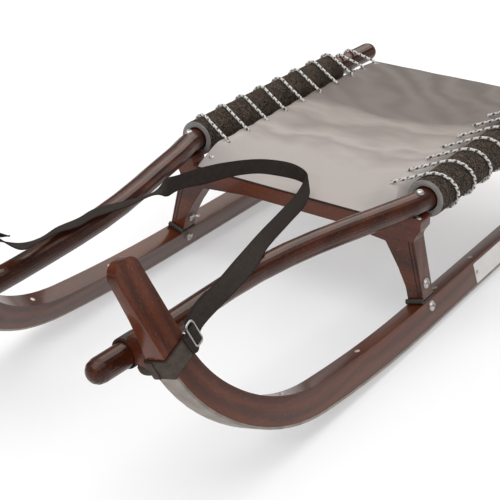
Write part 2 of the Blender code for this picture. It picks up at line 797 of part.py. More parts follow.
def main():
    clear_scene()
    group = new_collection("sport_luge")
    tools = new_collection("cutters")
    wood = material("lacquered_wood", mahogany, 0.25)
    steel = material("rail_steel", steel_grey, 0.3, 1.0)
    foam = material("sleeve_foam", foam_grey, 0.8)
    rubber = material("pad_rubber", rubber_dark, 0.6)
    cloth = material("sheet_cloth", cloth_grey, 0.7)
    cord = material("lace_cord", lace_white, 0.8)
    web = material("strap_web", web_dark, 0.8)
    made = []
    for maker in (lambda: make_runner(left, group, tools, wood), lambda: make_rail(left, group, steel),
                  lambda: make_spar(left, group, wood),
                  lambda: make_sleeve(left, group, tools, foam),
                  lambda: make_pad("pad_front_left", front_arch_station, group, rubber),
                  lambda: make_pad("pad_rear_left", rear_arch_station, group, rubber),
                  lambda: make_block(left, group, tools, wood),
                  lambda: make_lacing(left, group, cord)):
        made.append(maker())
    by_name = {obj.name: obj for obj in made}
    made.append(make_band("horn_band_left", by_name["runner_left"], horn_band_frame(), group, tools, web))
    made.append(make_band("spar_band_left", by_name["spar_left"], spar_band_frame(), group, tools, web))
    for obj in made:
        mirrored(obj, obj.name.replace("left", "right"), group)
    make_arch("arch_front", front_arch_station, group, tools, wood)
    make_arch("arch_rear", rear_arch_station, group, tools, wood)
    make_sheet(group, tools, cloth)
    make_webbing(group, web)


main()
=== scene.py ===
import math
import bmesh
import bpy
import numpy as np
from mathutils import Matrix, Vector, noise


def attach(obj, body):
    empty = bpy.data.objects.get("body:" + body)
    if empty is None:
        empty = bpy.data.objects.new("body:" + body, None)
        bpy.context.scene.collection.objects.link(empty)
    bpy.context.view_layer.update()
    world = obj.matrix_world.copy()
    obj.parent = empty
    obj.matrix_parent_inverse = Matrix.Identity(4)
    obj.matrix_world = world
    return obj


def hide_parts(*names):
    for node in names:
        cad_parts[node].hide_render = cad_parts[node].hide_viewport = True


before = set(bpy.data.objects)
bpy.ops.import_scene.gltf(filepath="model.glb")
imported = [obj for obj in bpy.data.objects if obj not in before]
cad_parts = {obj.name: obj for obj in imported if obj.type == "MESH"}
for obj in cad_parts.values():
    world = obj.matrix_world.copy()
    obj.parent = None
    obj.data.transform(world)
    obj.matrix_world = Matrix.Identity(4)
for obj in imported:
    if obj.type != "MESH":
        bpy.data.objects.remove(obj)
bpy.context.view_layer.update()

camera = {"place": (0.81664, -1.29036, 0.83268), "back": (0.50634, -0.73402, 0.45258), "lens": 86.87,
          "sensor": 36}

# metres; stations are counted back from the front of the sleeves
luge = {"front": 0.0268, "span": 0.1875, "high": 0.1765, "round": 0.0156, "sleeve": 0.380, "track": 0.2012,
        "lean": math.radians(17.77), "gap": 0.0003}
lean = (math.cos(luge["lean"]), 0, math.sin(luge["lean"]))  # square out of a runner's side
leanTurn = Matrix(((0, -lean[2], lean[0], luge["track"]), (1, 0, 0, luge["front"]), (0, lean[0], lean[2], 0),
                   (0, 0, 0, 1)))


def linked(name, data):
    thing = bpy.data.objects.new(name, data)
    bpy.context.scene.collection.objects.link(thing)
    return thing


def makeCamera():
    data = bpy.data.cameras.new("photoCamera")
    data.lens, data.sensor_width = camera["lens"], camera["sensor"]
    eye = linked("photoCamera", data)
    back = Vector(camera["back"]).normalized()
    right = Vector((0, 0, 1)).cross(back).normalized()
    turn = Matrix((right, back.cross(right), back)).transposed().to_4x4()
    eye.matrix_world = Matrix.Translation(camera["place"]) @ turn
    bpy.context.scene.camera = eye


makeCamera()
print("camera stands")


def addNode(tree, kind, values=None, **settings):
    step = tree.nodes.new(kind)
    for key, value in settings.items():
        setattr(step, key, value)
    for key, value in (values or {}).items():
        step.inputs[key].default_value = value
    return step


def maths(tree, operation, first, second=None, third=None, clamp=False):
    step = addNode(tree, "ShaderNodeMath", operation=operation, use_clamp=clamp)
    for index, value in enumerate((first, second, third)):
        if value is None:
            continue
        if isinstance(value, (int, float)):
            step.inputs[index].default_value = value
        else:
            tree.links.new(value, step.inputs[index])
    return step.outputs[0]


def times(tree, first, second, clamp=False):
    return maths(tree, "MULTIPLY", first, second, clamp=clamp)


def scaled(tree, value, gain, lift, clamp=False):
    return maths(tree, "MULTIPLY_ADD", value, gain, lift, clamp)


def axesOf(tree, vector):
    step = addNode(tree, "ShaderNodeSeparateXYZ")
    tree.links.new(vector, step.inputs[0])
    return step.outputs


def joined(tree, values):
    step = addNode(tree, "ShaderNodeCombineXYZ")
    for index, value in enumerate(values):
        tree.links.new(value, step.inputs[index])
    return step.outputs[0]


def objectPlace(tree):
    return addNode(tree, "ShaderNodeTexCoord").outputs["Object"]


def ramp(tree, value, stops):
    step = addNode(tree, "ShaderNodeValToRGB")
    band = step.color_ramp
    while len(band.elements) < len(stops):
        band.elements.new(0.5)
    for element, (place, colour) in zip(band.elements, stops):
        element.position = place
        element.color = colour if len(colour) == 4 else (*colour, 1)
    tree.links.new(value, step.inputs[0])
    return step.outputs[0]


def mixColour(tree, share, first, second, blend="MIX"):
    step = addNode(tree, "ShaderNodeMix", data_type="RGBA", blend_type=blend)
    for index, value in ((0, share), (6, first), (7, second)):
        if isinstance(value, (int, float)):
            step.inputs[index].default_value = value
        elif isinstance(value, tuple):
            step.inputs[index].default_value = (*value, 1)
        else:
            tree.links.new(value, step.inputs[index])
    return step.outputs[2]


def placed(tree, vector, scale, turn=(0, 0, 0)):
    step = addNode(tree, "ShaderNodeMapping", {"Scale": scale, "Rotation": turn})
    tree.links.new(vector, step.inputs["Vector"])
    return step.outputs[0]


def cloud(tree, vector, scale, detail=3.0, rough=0.5, twist=0.0):
    step = addNode(tree, "ShaderNodeTexNoise", {"Scale": scale, "Detail": detail, "Roughness": rough,
                                                "Distortion": twist})
    tree.links.new(vector, step.inputs["Vector"])
    return step.outputs[0]


def bump(tree, height, strength, distance):
    step = addNode(tree, "ShaderNodeBump", {"Strength": strength, "Distance": distance})
    tree.links.new(height, step.inputs["Height"])
    return step.outputs[0]


def newMaterial(name, **values):
    mat = bpy.data.materials.new(name)
    mat.use_nodes = True
    shader = mat.node_tree.nodes["Principled BSDF"]
    for key, value in values.items():
        shader.inputs[key.replace("_", " ")].default_value = value
    return mat, mat.node_tree, shader


def plug(tree, shader, **links):  # a space in a socket's name is written as an underscore
    for key, value in links.items():
        tree.links.new(value, shader.inputs[key.replace("_", " ")])


def newGroup(name, inputs, outputs):
    tree = bpy.data.node_groups.new(name, "ShaderNodeTree")
    for label, kind in inputs:
        tree.interface.new_socket(label, in_out="INPUT", socket_type=kind)
    for label, kind in outputs:
        tree.interface.new_socket(label, in_out="OUTPUT", socket_type=kind)
    return tree, tree.nodes.new("NodeGroupInput"), tree.nodes.new("NodeGroupOutput")


def useGroup(tree, group, **links):
    step = addNode(tree, "ShaderNodeGroup", node_tree=group)
    for key, value in links.items():
        if isinstance(value, (int, float)):
            step.inputs[key].default_value = value
        else:
            tree.links.new(value, step.inputs[key])
    return step


def makeGrainGroup():  # wood figure along the vector's X
    tree, start, end = newGroup("woodGrain", [("Vector", "NodeSocketVector")],
                                [("Figure", "NodeSocketFloat"), ("Pores", "NodeSocketFloat")])
    wide = cloud(tree, placed(tree, start.outputs[0], (3.0, 42, 42)), 1.0, 4, 0.6, 0.5)
    fine = cloud(tree, placed(tree, start.outputs[0], (14, 420, 420)), 1.0, 2, 0.6)
    rings = addNode(tree, "ShaderNodeTexWave", {"Scale": 16, "Distortion": 5.0, "Detail": 2.0},
                    bands_direction="Y")
    tree.links.new(placed(tree, start.outputs[0], (0.25, 1, 1)), rings.inputs["Vector"])
    figure = scaled(tree, wide, 0.62, times(tree, rings.outputs[1], 0.30))
    tree.links.new(figure, end.inputs[0])
    tree.links.new(scaled(tree, fine, 3.2, -1.35, clamp=True), end.inputs[1])
    return tree


def makeWeaveGroup():  # herringbone rows of webbing from metres across and along, with painted shade in its hollows
    tree, start, end = newGroup("webWeave", [("Vector", "NodeSocketVector"), ("Pitch", "NodeSocketFloat")],
                                [("Height", "NodeSocketFloat"), ("ToneAndShade", "NodeSocketFloat")])
    parts = axesOf(tree, start.outputs[0])
    across = maths(tree, "DIVIDE", parts[0], start.outputs[1])
    along = maths(tree, "DIVIDE", parts[1], start.outputs[1])
    chevron = maths(tree, "PINGPONG", across, 2.0)
    twill = maths(tree, "SINE", times(tree, maths(tree, "ADD", along, chevron), math.pi * 2))
    yarn = maths(tree, "ABSOLUTE", maths(tree, "SINE", times(tree, across, math.pi * 2)))
    height = scaled(tree, twill, 0.25, scaled(tree, yarn, 0.4, 0.3))
    tree.links.new(height, end.inputs[0])
    mottled = cloud(tree, start.outputs[0], 130, 2)
    # mottled yarn tone plus painted shade: paler where the weave stands high
    tree.links.new(scaled(tree, mottled, 0.7, times(tree, height, 0.4)), end.inputs[1])
    return tree


def makeSoilGroup():  # broad stains and fine specks
    tree, start, end = newGroup("surfaceSoil", [("Vector", "NodeSocketVector"), ("Scale", "NodeSocketFloat")],
                                [("Stain", "NodeSocketFloat"), ("Speck", "NodeSocketFloat")])
    for index, (factor, detail, gain, lift) in enumerate(((1.0, 4, 2.2, -0.6), (22.0, 2, 5.0, -2.9))):
        step = addNode(tree, "ShaderNodeTexNoise", {"Detail": detail, "Roughness": 0.6})
        tree.links.new(start.outputs[0], step.inputs["Vector"])
        tree.links.new(times(tree, start.outputs[1], factor), step.inputs["Scale"])
        tree.links.new(scaled(tree, step.outputs[0], gain, lift, clamp=True), end.inputs[index])
    return tree


grainGroup, weaveGroup, soilGroup = makeGrainGroup(), makeWeaveGroup(), makeSoilGroup()

# bend: station and height of the middle of the horn's bend, square to the lean; edge: colour of the painted
# shade on the rounded edges
wood = {"stops": ((0.08, (0.020, 0.0042, 0.0015)), (0.45, (0.084, 0.0160, 0.0040)),
                  (0.95, (0.165, 0.037, 0.0085))),
        "edge": (0.014, 0.0026, 0.0012), "dust": (0.20, 0.15, 0.12), "soil": 14.0, "specular": 0.22,
        "rough": 0.34, "coat": 0.66, "edgeCoat": -0.60, "coatRough": 0.09, "coatStain": 0.12,
        "bend": (-0.2628, 0.3028), "bendRound": 0.27}


# metres along, across and through a runner, with the grain following its bend
def bentPlace(tree, place):
    across, deep, high = axesOf(tree, place)
    side = maths(tree, "SUBTRACT", maths(tree, "ABSOLUTE", across), luge["track"])
    up = scaled(tree, high, lean[0], times(tree, side, -lean[2]))
    ahead = maths(tree, "SUBTRACT", wood["bend"][0] + luge["front"], deep)
    drop = maths(tree, "SUBTRACT", wood["bend"][1], up)
    inBend = maths(tree, "MAXIMUM", ahead, 0.0)
    turn = maths(tree, "ARCTAN2", inBend, drop)
    along = scaled(tree, turn, wood["bendRound"], maths(tree, "MINIMUM", ahead, 0.0))
    squares = maths(tree, "ADD", maths(tree, "POWER", inBend, 2.0), maths(tree, "POWER", drop, 2.0))
    return joined(tree, (along, maths(tree, "SQRT", squares), side))


# lacquered, with painted shade on the rounded edges; edgeAxis is square to the flat sides
def makeWood(name, grainTurn, edgeAxis, bent=False, deep=1.0):
    mat, tree, shader = newMaterial(name, Roughness=wood["rough"], Specular_IOR_Level=wood["specular"])
    place = objectPlace(tree)
    figured = bentPlace(tree, place) if bent else placed(tree, place, (1, 1, 1), grainTurn)
    grain = useGroup(tree, grainGroup, Vector=figured)
    stops = [(stop, tuple(part * deep for part in tone)) for stop, tone in wood["stops"]]
    colour = ramp(tree, grain.outputs["Figure"], stops)
    colour = mixColour(tree, times(tree, grain.outputs["Pores"], 0.35), colour, wood["stops"][0][1])
    facing = axesOf(tree, addNode(tree, "ShaderNodeNewGeometry").outputs["True Normal"])
    outward = times(tree, facing[0], maths(tree, "SIGN", axesOf(tree, place)[0]))  # the same on both sides
    dot = addNode(tree, "ShaderNodeVectorMath", {1: edgeAxis}, operation="DOT_PRODUCT")
    tree.links.new(joined(tree, (outward, facing[1], facing[2])), dot.inputs[0])
    level = maths(tree, "ABSOLUTE", dot.outputs["Value"])
    # mask of the rounded edges, for their painted shade and thinner coat
    edge = times(tree, times(tree, level, maths(tree, "SUBTRACT", 1.0, level)), 4.2, clamp=True)
    soil = useGroup(tree, soilGroup, Vector=place, Scale=wood["soil"])
    # painted shade: the rounded edges are darkened to the edge colour
    colour = mixColour(tree, times(tree, edge, 0.9), colour, wood["edge"])
    colour = mixColour(tree, times(tree, soil.outputs["Speck"], 0.25), colour, wood["dust"])
    plug(tree, shader, Base_Color=colour, Coat_Weight=scaled(tree, edge, wood["edgeCoat"], wood["coat"]),
         Coat_Roughness=scaled(tree, soil.outputs["Stain"], wood["coatStain"], wood["coatRough"]),
         Normal=bump(tree, grain.outputs["Pores"], 0.12, 0.0004))
    return mat


steel = {"rail": ((0.52, 0.46, 0.42), 0.34, 0.18), "bolt": ((0.93, 0.91, 0.88), 0.36, 0.05),
         "soil": 60.0, "stained": 0.62, "scratch": (900, 12, 900)}  # rail and bolt: colour, roughness, brushing
rubber = {"colour": (0.020, 0.017, 0.015), "rough": 0.6, "soil": 80.0, "dusty": 2.6, "pimple": 900}


def makeMetal(name, colour, rough, brushed=0.0):
    mat, tree, shader = newMaterial(name, Metallic=1.0)
    place = objectPlace(tree)
    soil = useGroup(tree, soilGroup, Vector=place, Scale=steel["soil"])
    scratch = cloud(tree, placed(tree, place, steel["scratch"]), 1.0, 2)
    shade = mixColour(tree, soil.outputs["Stain"], colour, tuple(part * steel["stained"] for part in colour))
    dull = scaled(tree, soil.outputs["Speck"], 0.2, rough)
    plug(tree, shader, Base_Color=shade, Roughness=scaled(tree, scratch, brushed, dull),
         Normal=bump(tree, scratch, 0.15 + brushed, 0.0001))
    return mat


def makeRubber(name, colour):
    mat, tree, shader = newMaterial(name, Roughness=rubber["rough"])
    place = objectPlace(tree)
    soil = useGroup(tree, soilGroup, Vector=place, Scale=rubber["soil"])
    shade = mixColour(tree, soil.outputs["Stain"], colour, tuple(part * rubber["dusty"] for part in colour))
    pimples = cloud(tree, place, rubber["pimple"], 3)
    plug(tree, shader, Base_Color=shade, Normal=bump(tree, pimples, 0.3, 0.0002))
    return mat


runnerWood = makeWood("runnerWood", (0, 0, 0), lean, True)
sparWood = makeWood("sparWood", (0.6, 0, -math.pi / 2), (0, 0, 0), deep=0.62)
archWood = makeWood("archWood", (0.3, 0, 0), (0, 1, 0))
blockWood = makeWood("blockWood", (0.2, 0.4, 0), (0, 1, 0))
railSteel = makeMetal("railSteel", *steel["rail"])
boltSteel = makeMetal("boltSteel", *steel["bolt"])
padRubber = makeRubber("padRubber", rubber["colour"])
sides = ("left", "right")
for start, ends, finish in (("runner_", sides, runnerWood), ("spar_", sides, sparWood),
                            ("arch_", ("front", "rear"), archWood), ("horn_block_", sides, blockWood),
                            ("rail_", sides, railSteel), ("pad_front_", sides, padRubber),
                            ("pad_rear_", sides, padRubber)):
    for end in ends:
        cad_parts[start + end].material_slots[0].material = finish
print("wood, steel and rubber laid on the carried-over solids")


def addPiece(name, mesh, mat, sharp=40):
    mesh.materials.clear()
    mesh.materials.append(mat)
    mesh.shade_smooth()
    mesh.set_sharp_from_angle(angle=math.radians(sharp))
    piece = linked(name, mesh)
    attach(piece, "root")
    return piece


def turns(count):
    return [2 * math.pi * step / count for step in range(count)]


# skin over closed rings of points, with metres across and along as its UV
def ringMesh(name, rings, loop=False, caps=True):
    sides = len(rings[0])
    points = [tuple(spot) for ring in rings for spot in ring]
    girth = [0.0]
    for index in range(sides):
        girth.append(girth[-1] + (Vector(rings[0][(index + 1) % sides]) - Vector(rings[0][index])).length)
    middles = [sum((Vector(spot) for spot in ring), Vector()) / sides for ring in rings]
    along = [0.0]
    for index in range(len(rings)):
        along.append(along[-1] + (middles[(index + 1) % len(rings)] - middles[index]).length)
    faces, marks = [], []
    for row in range(len(rings) if loop else len(rings) - 1):
        after = (row + 1) % len(rings)
        for side in range(sides):
            other = (side + 1) % sides
            faces.append((row * sides + side, row * sides + other, after * sides + other,
                          after * sides + side))
            marks += [(girth[side], along[row]), (girth[side + 1], along[row]),
                      (girth[side + 1], along[row + 1]), (girth[side], along[row + 1])]
    if caps and not loop:
        for row, ring in ((0, range(sides - 1, -1, -1)), (len(rings) - 1, range(sides))):
            faces.append(tuple(row * sides + side for side in ring))
            marks += [(girth[side], along[row]) for side in ring]
    mesh = bpy.data.meshes.new(name)
    mesh.from_pydata(points, [], faces)
    layer = mesh.uv_layers.new(name="metres")
    layer.data.foreach_set("uv", [value for mark in marks for value in mark])
    mesh.update()
    work = bmesh.new()
    work.from_mesh(mesh)
    bmesh.ops.recalc_face_normals(work, faces=work.faces)
    work.to_mesh(mesh)
    work.free()
    return mesh


def spline(points, steps):  # smooth line through all the points
    ends = [2 * Vector(points[0]) - Vector(points[1])] + [Vector(spot) for spot in points]
    ends.append(2 * Vector(points[-1]) - Vector(points[-2]))
    line = []
    for index in range(1, len(ends) - 2):
        before, start, end, after = ends[index - 1:index + 3]
        for step in range(steps):
            share = step / steps
            line.append(0.5 * (2 * start + (end - before) * share
                               + (2 * before - 5 * start + 4 * end - after) * share ** 2
                               + (3 * start - before - 3 * end + after) * share ** 3))
    return line + [ends[-2]]


def evenLine(points, pitch, loop=False):  # the same line with points at an even pitch
    line = np.array([tuple(spot) for spot in points] + ([tuple(points[0])] if loop else []))
    reach = np.concatenate(([0], np.cumsum(np.linalg.norm(np.diff(line, axis=0), axis=1))))
    count = max(2, int(round(reach[-1] / pitch)))
    stops = np.linspace(0, reach[-1], count + 1)[:count if loop else None]
    return [Vector([float(np.interp(stop, reach, line[:, axis])) for axis in range(3)]) for stop in stops]


def frames(line, loop=False):  # forward, side and up at each point of a line, carried along without twist
    count = len(line)
    out, side = [], None
    for index in range(count):
        last = line[index - 1] if index or loop else line[0]
        following = line[(index + 1) % count] if index < count - 1 or loop else line[-1]
        forward = (following - last).normalized()
        if side is None:
            side = forward.orthogonal().normalized()
        side = (side - forward * side.dot(forward)).normalized()
        out.append((forward, side, forward.cross(side)))
    return out


def wireMesh(name, points, radius, sides=12, loop=False, pitch=0.0015, shape=None):
    line = evenLine(points, pitch, loop)
    rings = []
    for row, (spot, (forward, side, up)) in enumerate(zip(line, frames(line, loop))):
        rings.append([spot + (side * math.cos(turn) + up * math.sin(turn)) * radius
                      * (shape(turn, row * pitch) if shape else 1.0) for turn in turns(sides)])
    return ringMesh(name, rings, loop)


# round piece from radius and height pairs, standing on a place along an axis
def turnedMesh(name, profile, place, axis, sides=28):
    axis = Vector(axis).normalized()
    side = axis.orthogonal().normalized()
    up = axis.cross(side)
    return ringMesh(name, [[Vector(place) + axis * height
                            + (side * math.cos(turn) + up * math.sin(turn)) * max(radius, 0.00005)
                            for turn in turns(sides)] for radius, height in profile])


def finished(work, name):
    mesh = bpy.data.meshes.new(name)
    work.to_mesh(mesh)
    work.free()
    return mesh


def slabMesh(name, outline, low, high):  # flat outline raised from one level to another
    work = bmesh.new()
    base, top = [[work.verts.new((x, y, level)) for x, y in outline] for level in (low, high)]
    work.faces.new(base[::-1])
    work.faces.new(top)
    for index in range(len(base)):
        other = (index + 1) % len(base)
        work.faces.new((base[index], base[other], top[other], top[index]))
    bmesh.ops.recalc_face_normals(work, faces=work.faces)
    return finished(work, name)


def carved(mesh, cutters, thick=0):  # a mesh, thickened first if asked, with other meshes cut out of it
    base = linked("base", mesh)
    if thick:
        shell = base.modifiers.new("thickness", "SOLIDIFY")
        shell.thickness, shell.offset = thick, 1.0
    drills = [linked("cutter", cutter) for cutter in cutters]
    for drill in drills:
        cut = base.modifiers.new("cut", "BOOLEAN")
        cut.operation, cut.object, cut.solver = "DIFFERENCE", drill, "EXACT"
    bpy.context.view_layer.update()
    final = bpy.data.meshes.new_from_object(base.evaluated_get(bpy.context.evaluated_depsgraph_get()))
    for thing in (base, *drills):
        bpy.data.objects.remove(thing, do_unlink=True)
    return final


def soften(mesh, angle, rounds):  # rounds edges; each round is a test for them, a width and a number of steps
    work = bmesh.new()
    work.from_mesh(mesh)
    bmesh.ops.remove_doubles(work, verts=work.verts, dist=0.00002)
    for wanted, width, segments in rounds:
        edges = [edge for edge in work.edges
                 if len(edge.link_faces) == 2 and edge.calc_face_angle(0) >= angle and wanted(edge)]
        bmesh.ops.bevel(work, geom=edges, offset=width, segments=segments, profile=0.5, affect="EDGES",
                        clamp_overlap=True)
    work.to_mesh(mesh)
    work.free()


def cornered(halfLong, halfHigh, corner, count):  # rectangle with round corners
    points = []
    for step in range(count):
        swing = 2 * math.pi * (step + 0.5) / count
        points.append((math.copysign(halfLong - corner, math.cos(swing)) + corner * math.cos(swing),
                       math.copysign(halfHigh - corner, math.sin(swing)) + corner * math.sin(swing)))
    return points


# outline with each corner ((x, y), radius) turned into an arc
def rounded(corners, steps=7):
    out = []
    for index, (corner, radius) in enumerate(corners):
        here = Vector(corner)
        if not radius:
            out.append(tuple(here))
            continue
        before = (Vector(corners[index - 1][0]) - here).normalized()
        after = (Vector(corners[(index + 1) % len(corners)][0]) - here).normalized()
        half = before.angle(after) / 2
        centre = here + (before + after).normalized() * radius / math.sin(half)
        first = here + before * radius / math.tan(half) - centre
        turn = first.angle_signed(here + after * radius / math.tan(half) - centre)
        for step in range(steps + 1):
            arm = first.copy()
            arm.rotate(Matrix.Rotation(-turn * step / steps, 2))
            out.append(tuple(centre + arm))
    return out


def bothSides(name, build, mat, sharp=40, nodes=()):  # a piece on the left and its mirror image on the right
    pieces = []
    for word, way in (("Left", 1), ("Right", -1)):
        mesh = build(name + word)
        if way < 0:
            mesh.transform(Matrix.Diagonal((-1, 1, 1, 1)))
            mesh.flip_normals()
        piece = addPiece(name + word, mesh, mat, sharp)
        if nodes:
            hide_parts(*[node + word.lower() for node in nodes])
        pieces.append(piece)
    return pieces


print("mesh helpers ready")

strap = {
    "wide": 0.0245, "thick": 0.0016, "steps": 8, "lapWide": 0.97, "lapLift": 1.12, "lapFrom": 0.72,
    "lapRise": 0.007 / 0.15, "dark": (0.010, 0.0072, 0.0058), "pale": (0.046, 0.034, 0.028),
    "bandDark": (0.018, 0.013, 0.010), "bandPale": (0.115, 0.088, 0.070), "weave": 0.0024, "selvedge": 0.0018,
    "edges": (  # upper edge, then lower edge: across, station, height
        ((0.1669, -0.4970, 0.2037), (0.1744, -0.4860, 0.1804)),
        ((0.1668, -0.4885, 0.2045), (0.1742, -0.4775, 0.1812)),
        ((0.1586, -0.4773, 0.2115), (0.1649, -0.4642, 0.1918)),
        ((0.1511, -0.4544, 0.2160), (0.1610, -0.4422, 0.1972)),
        ((0.1370, -0.3850, 0.2160), (0.1520, -0.3750, 0.2020)),
        ((0.1200, -0.3240, 0.2135), (0.1400, -0.3250, 0.2010)),
        ((0.0960, -0.2515, 0.2050), (0.1155, -0.2625, 0.1930)),
        ((0.0560, -0.1400, 0.1830), (0.0740, -0.1520, 0.1690)),
        ((0.0365, -0.0770, 0.1740), (0.0509, -0.0859, 0.1580)),
        ((0.0254, -0.0430, 0.1740), (0.0353, -0.0473, 0.1540)),
        ((0.0190, -0.0230, 0.1780), (0.0190, -0.0170, 0.1545)),
        ((0.0080, -0.0230, 0.1860), (0.0045, -0.0180, 0.1620)),
        ((-0.0100, -0.0320, 0.1930), (-0.0140, -0.0310, 0.1690)),
        ((-0.0398, -0.0516, 0.1965), (-0.0450, -0.0490, 0.1730)),
        ((-0.0675, -0.0857, 0.1970), (-0.0660, -0.0800, 0.1750)),
        ((-0.0847, -0.1241, 0.1975), (-0.0816, -0.1242, 0.1760)),
        ((-0.0930, -0.1680, 0.2000), (-0.0950, -0.1640, 0.1780)),
        ((-0.1016, -0.2104, 0.1885), (-0.0868, -0.2285, 0.1958)),
        ((-0.1047, -0.2530, 0.1940), (-0.0890, -0.2716, 0.1968)),
        ((-0.1206, -0.2982, 0.1955), (-0.1045, -0.3167, 0.1946)),
        ((-0.1195, -0.3329, 0.1955), (-0.1032, -0.3512, 0.1955)),
        ((-0.1219, -0.3680, 0.1965), (-0.1053, -0.3856, 0.2002)),
        ((-0.1110, -0.4084, 0.2015), (-0.0945, -0.4251, 0.2080)),
        ((-0.1150, -0.4380, 0.2055), (-0.0990, -0.4540, 0.2090)),
        ((-0.1610, -0.4422, 0.1972), (-0.1511, -0.4544, 0.2160)),
        ((-0.1649, -0.4642, 0.1918), (-0.1586, -0.4773, 0.2115)),
        ((-0.1742, -0.4775, 0.1812), (-0.1668, -0.4885, 0.2045)),
        ((-0.1744, -0.4860, 0.1804), (-0.1669, -0.4970, 0.2037)))}


# dark webbing; girth is half way round its section, for the two selvedges
def makeWeb(name, dark, pale, girth):
    mat, tree, shader = newMaterial(name, Roughness=0.78, Specular_IOR_Level=0.2)
    place = addNode(tree, "ShaderNodeUVMap").outputs[0]
    weave = useGroup(tree, weaveGroup, Vector=place, Pitch=strap["weave"])
    inner = maths(tree, "PINGPONG", axesOf(tree, place)[0], girth)
    nearEdge = maths(tree, "MINIMUM", inner, maths(tree, "SUBTRACT", girth, inner))
    selvedge = maths(tree, "LESS_THAN", nearEdge, strap["selvedge"])
    # mottled yarn tone with painted shade in the weave's hollows
    colour = mixColour(tree, weave.outputs["ToneAndShade"], dark, pale)
    colour = mixColour(tree, times(tree, selvedge, 0.55), colour, dark)
    plug(tree, shader, Base_Color=colour, Normal=bump(tree, weave.outputs["Height"], 0.55, 0.0005))
    return mat


webGirth = strap["wide"] + strap["thick"] * 0.2
webbing = makeWeb("webbing", strap["dark"], strap["pale"], webGirth)
bandWeb = makeWeb("bandWeb", strap["bandDark"], strap["bandPale"], webGirth)
halfSection = ((-0.975, 0.75), (-0.9, 1.0), (-0.6, 0.94), (-0.2, 1.0), (0.2, 1.0), (0.6, 0.94), (0.9, 1.0),
               (0.975, 0.75))
bandSection = [(-1, 0), *halfSection, (1, 0), *[(-across, -deep) for across, deep in halfSection]]


def bandRing(middle, arm, normal, wide, thick):
    return [middle + arm * (across * wide / 2) + normal * (deep * thick / 2) for across, deep in bandSection]


def strapRows():
    upper = spline([pair[0] for pair in strap["edges"]], strap["steps"])
    lower = spline([pair[1] for pair in strap["edges"]], strap["steps"])
    middles = [(high + low) / 2 + Vector((0, luge["front"], 0)) for high, low in zip(upper, lower)]
    arms = [(high - low).normalized() for high, low in zip(upper, lower)]
    rows = []
    for index, (middle, arm) in enumerate(zip(middles, arms)):
        ahead = middles[min(index + 1, len(middles) - 1)] - middles[max(index - 1, 0)]
        rows.append((middle, arm, ahead.cross(arm).normalized()))
    return rows


strapLine = strapRows()


def makeStrap():
    rings = [bandRing(middle, arm, normal, strap["wide"], strap["thick"])
             for middle, arm, normal in strapLine]
    piece = addPiece("steeringWebbing", ringMesh("steeringWebbing", rings), webbing, 60)
    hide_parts("steering_strap")
    path = [tuple(middle) for middle, arm, normal in strapLine]
    length = sum((Vector(b) - Vector(a)).length for a, b in zip(path, path[1:]))
    print("steering strap length", round(length, 4))
    return piece, path, length


def makeStrapLap(word, first, last, way):  # doubled end of the strap, turned back through its buckle
    rows = strapLine[first:last:1 if last > first else -1]
    rings = []
    for index, (middle, arm, normal) in enumerate(rows):
        past = max(0.0, index / (len(rows) - 1) - strap["lapFrom"])
        lift = strap["thick"] * strap["lapLift"] + strap["lapRise"] * past ** 1.5
        rings.append(bandRing(middle + normal * way * lift, arm, normal, strap["wide"] * strap["lapWide"],
                              strap["thick"]))
    return addPiece("strapLap" + word, ringMesh("strapLap" + word, rings), webbing, 60)


buckle = {"across": 0.0278, "along": 0.0128, "wire": 0.00125, "corner": 0.0042, "lift": 0.0006,
          "loopWide": 0.86, "loopLong": 0.0165, "loopFrom": 0.42, "loopDrop": 0.0008, "bulge": 0.0016,
          "pinch": 0.0024, "middle": (0.1677, -0.4509, 0.1996), "arm": (-0.0082, -0.0090, 0.0257),
          "ahead": (-0.0011, 0.0115, 0.0035)}


def buckleFrame(way):
    arm = Vector(buckle["arm"]).normalized()
    ahead = Vector(buckle["ahead"])
    ahead = (ahead - arm * ahead.dot(arm)).normalized()
    return [Vector((way * spot.x, spot.y, spot.z)) for spot in (Vector(buckle["middle"]), arm, ahead)]


def makeBuckle(word, way):  # bent wire rectangle that the strap is threaded through
    middle, arm, ahead = buckleFrame(way)
    out = Vector((way, 0, 0.3)).normalized()
    points = [middle + arm * across + ahead * along + out * buckle["lift"] for across, along in
              cornered(buckle["across"] / 2, buckle["along"] / 2, buckle["corner"], 32)]
    return addPiece("wireBuckle" + word, wireMesh("wireBuckle" + word, points, buckle["wire"], 12, True),
                    boltSteel)


def makeBuckleLoop(word, way, steps=16):  # turn of webbing held by the buckle
    middle, arm, ahead = buckleFrame(way)
    out = ahead.cross(arm) * -way
    if out.x * way < 0:
        out = -out
    rings = []
    for step in range(steps + 1):
        share = step / steps
        bulge = buckle["bulge"] * math.sin(math.pi * share) - buckle["pinch"] * abs(2 * share - 1) ** 3
        spot = middle + ahead * (share - buckle["loopFrom"]) * buckle["loopLong"] + out * bulge
        rings.append(bandRing(spot - arm * buckle["loopDrop"], arm, out, strap["wide"] * buckle["loopWide"],
                              strap["thick"]))
    return addPiece("buckleLoop" + word, ringMesh("buckleLoop" + word, rings), webbing, 60)


webPiece, webPath, webLength = makeStrap()
lapNear = makeStrapLap("Left", 4, 30, -1)
lapFar = makeStrapLap("Right", len(strapLine) - 5, len(strapLine) - 31, -1)
buckleNear, buckleFar = makeBuckle("Left", 1), makeBuckle("Right", -1)
loopNear, loopFar = makeBuckleLoop("Left", 1), makeBuckleLoop("Right", -1)
print("steering strap made")

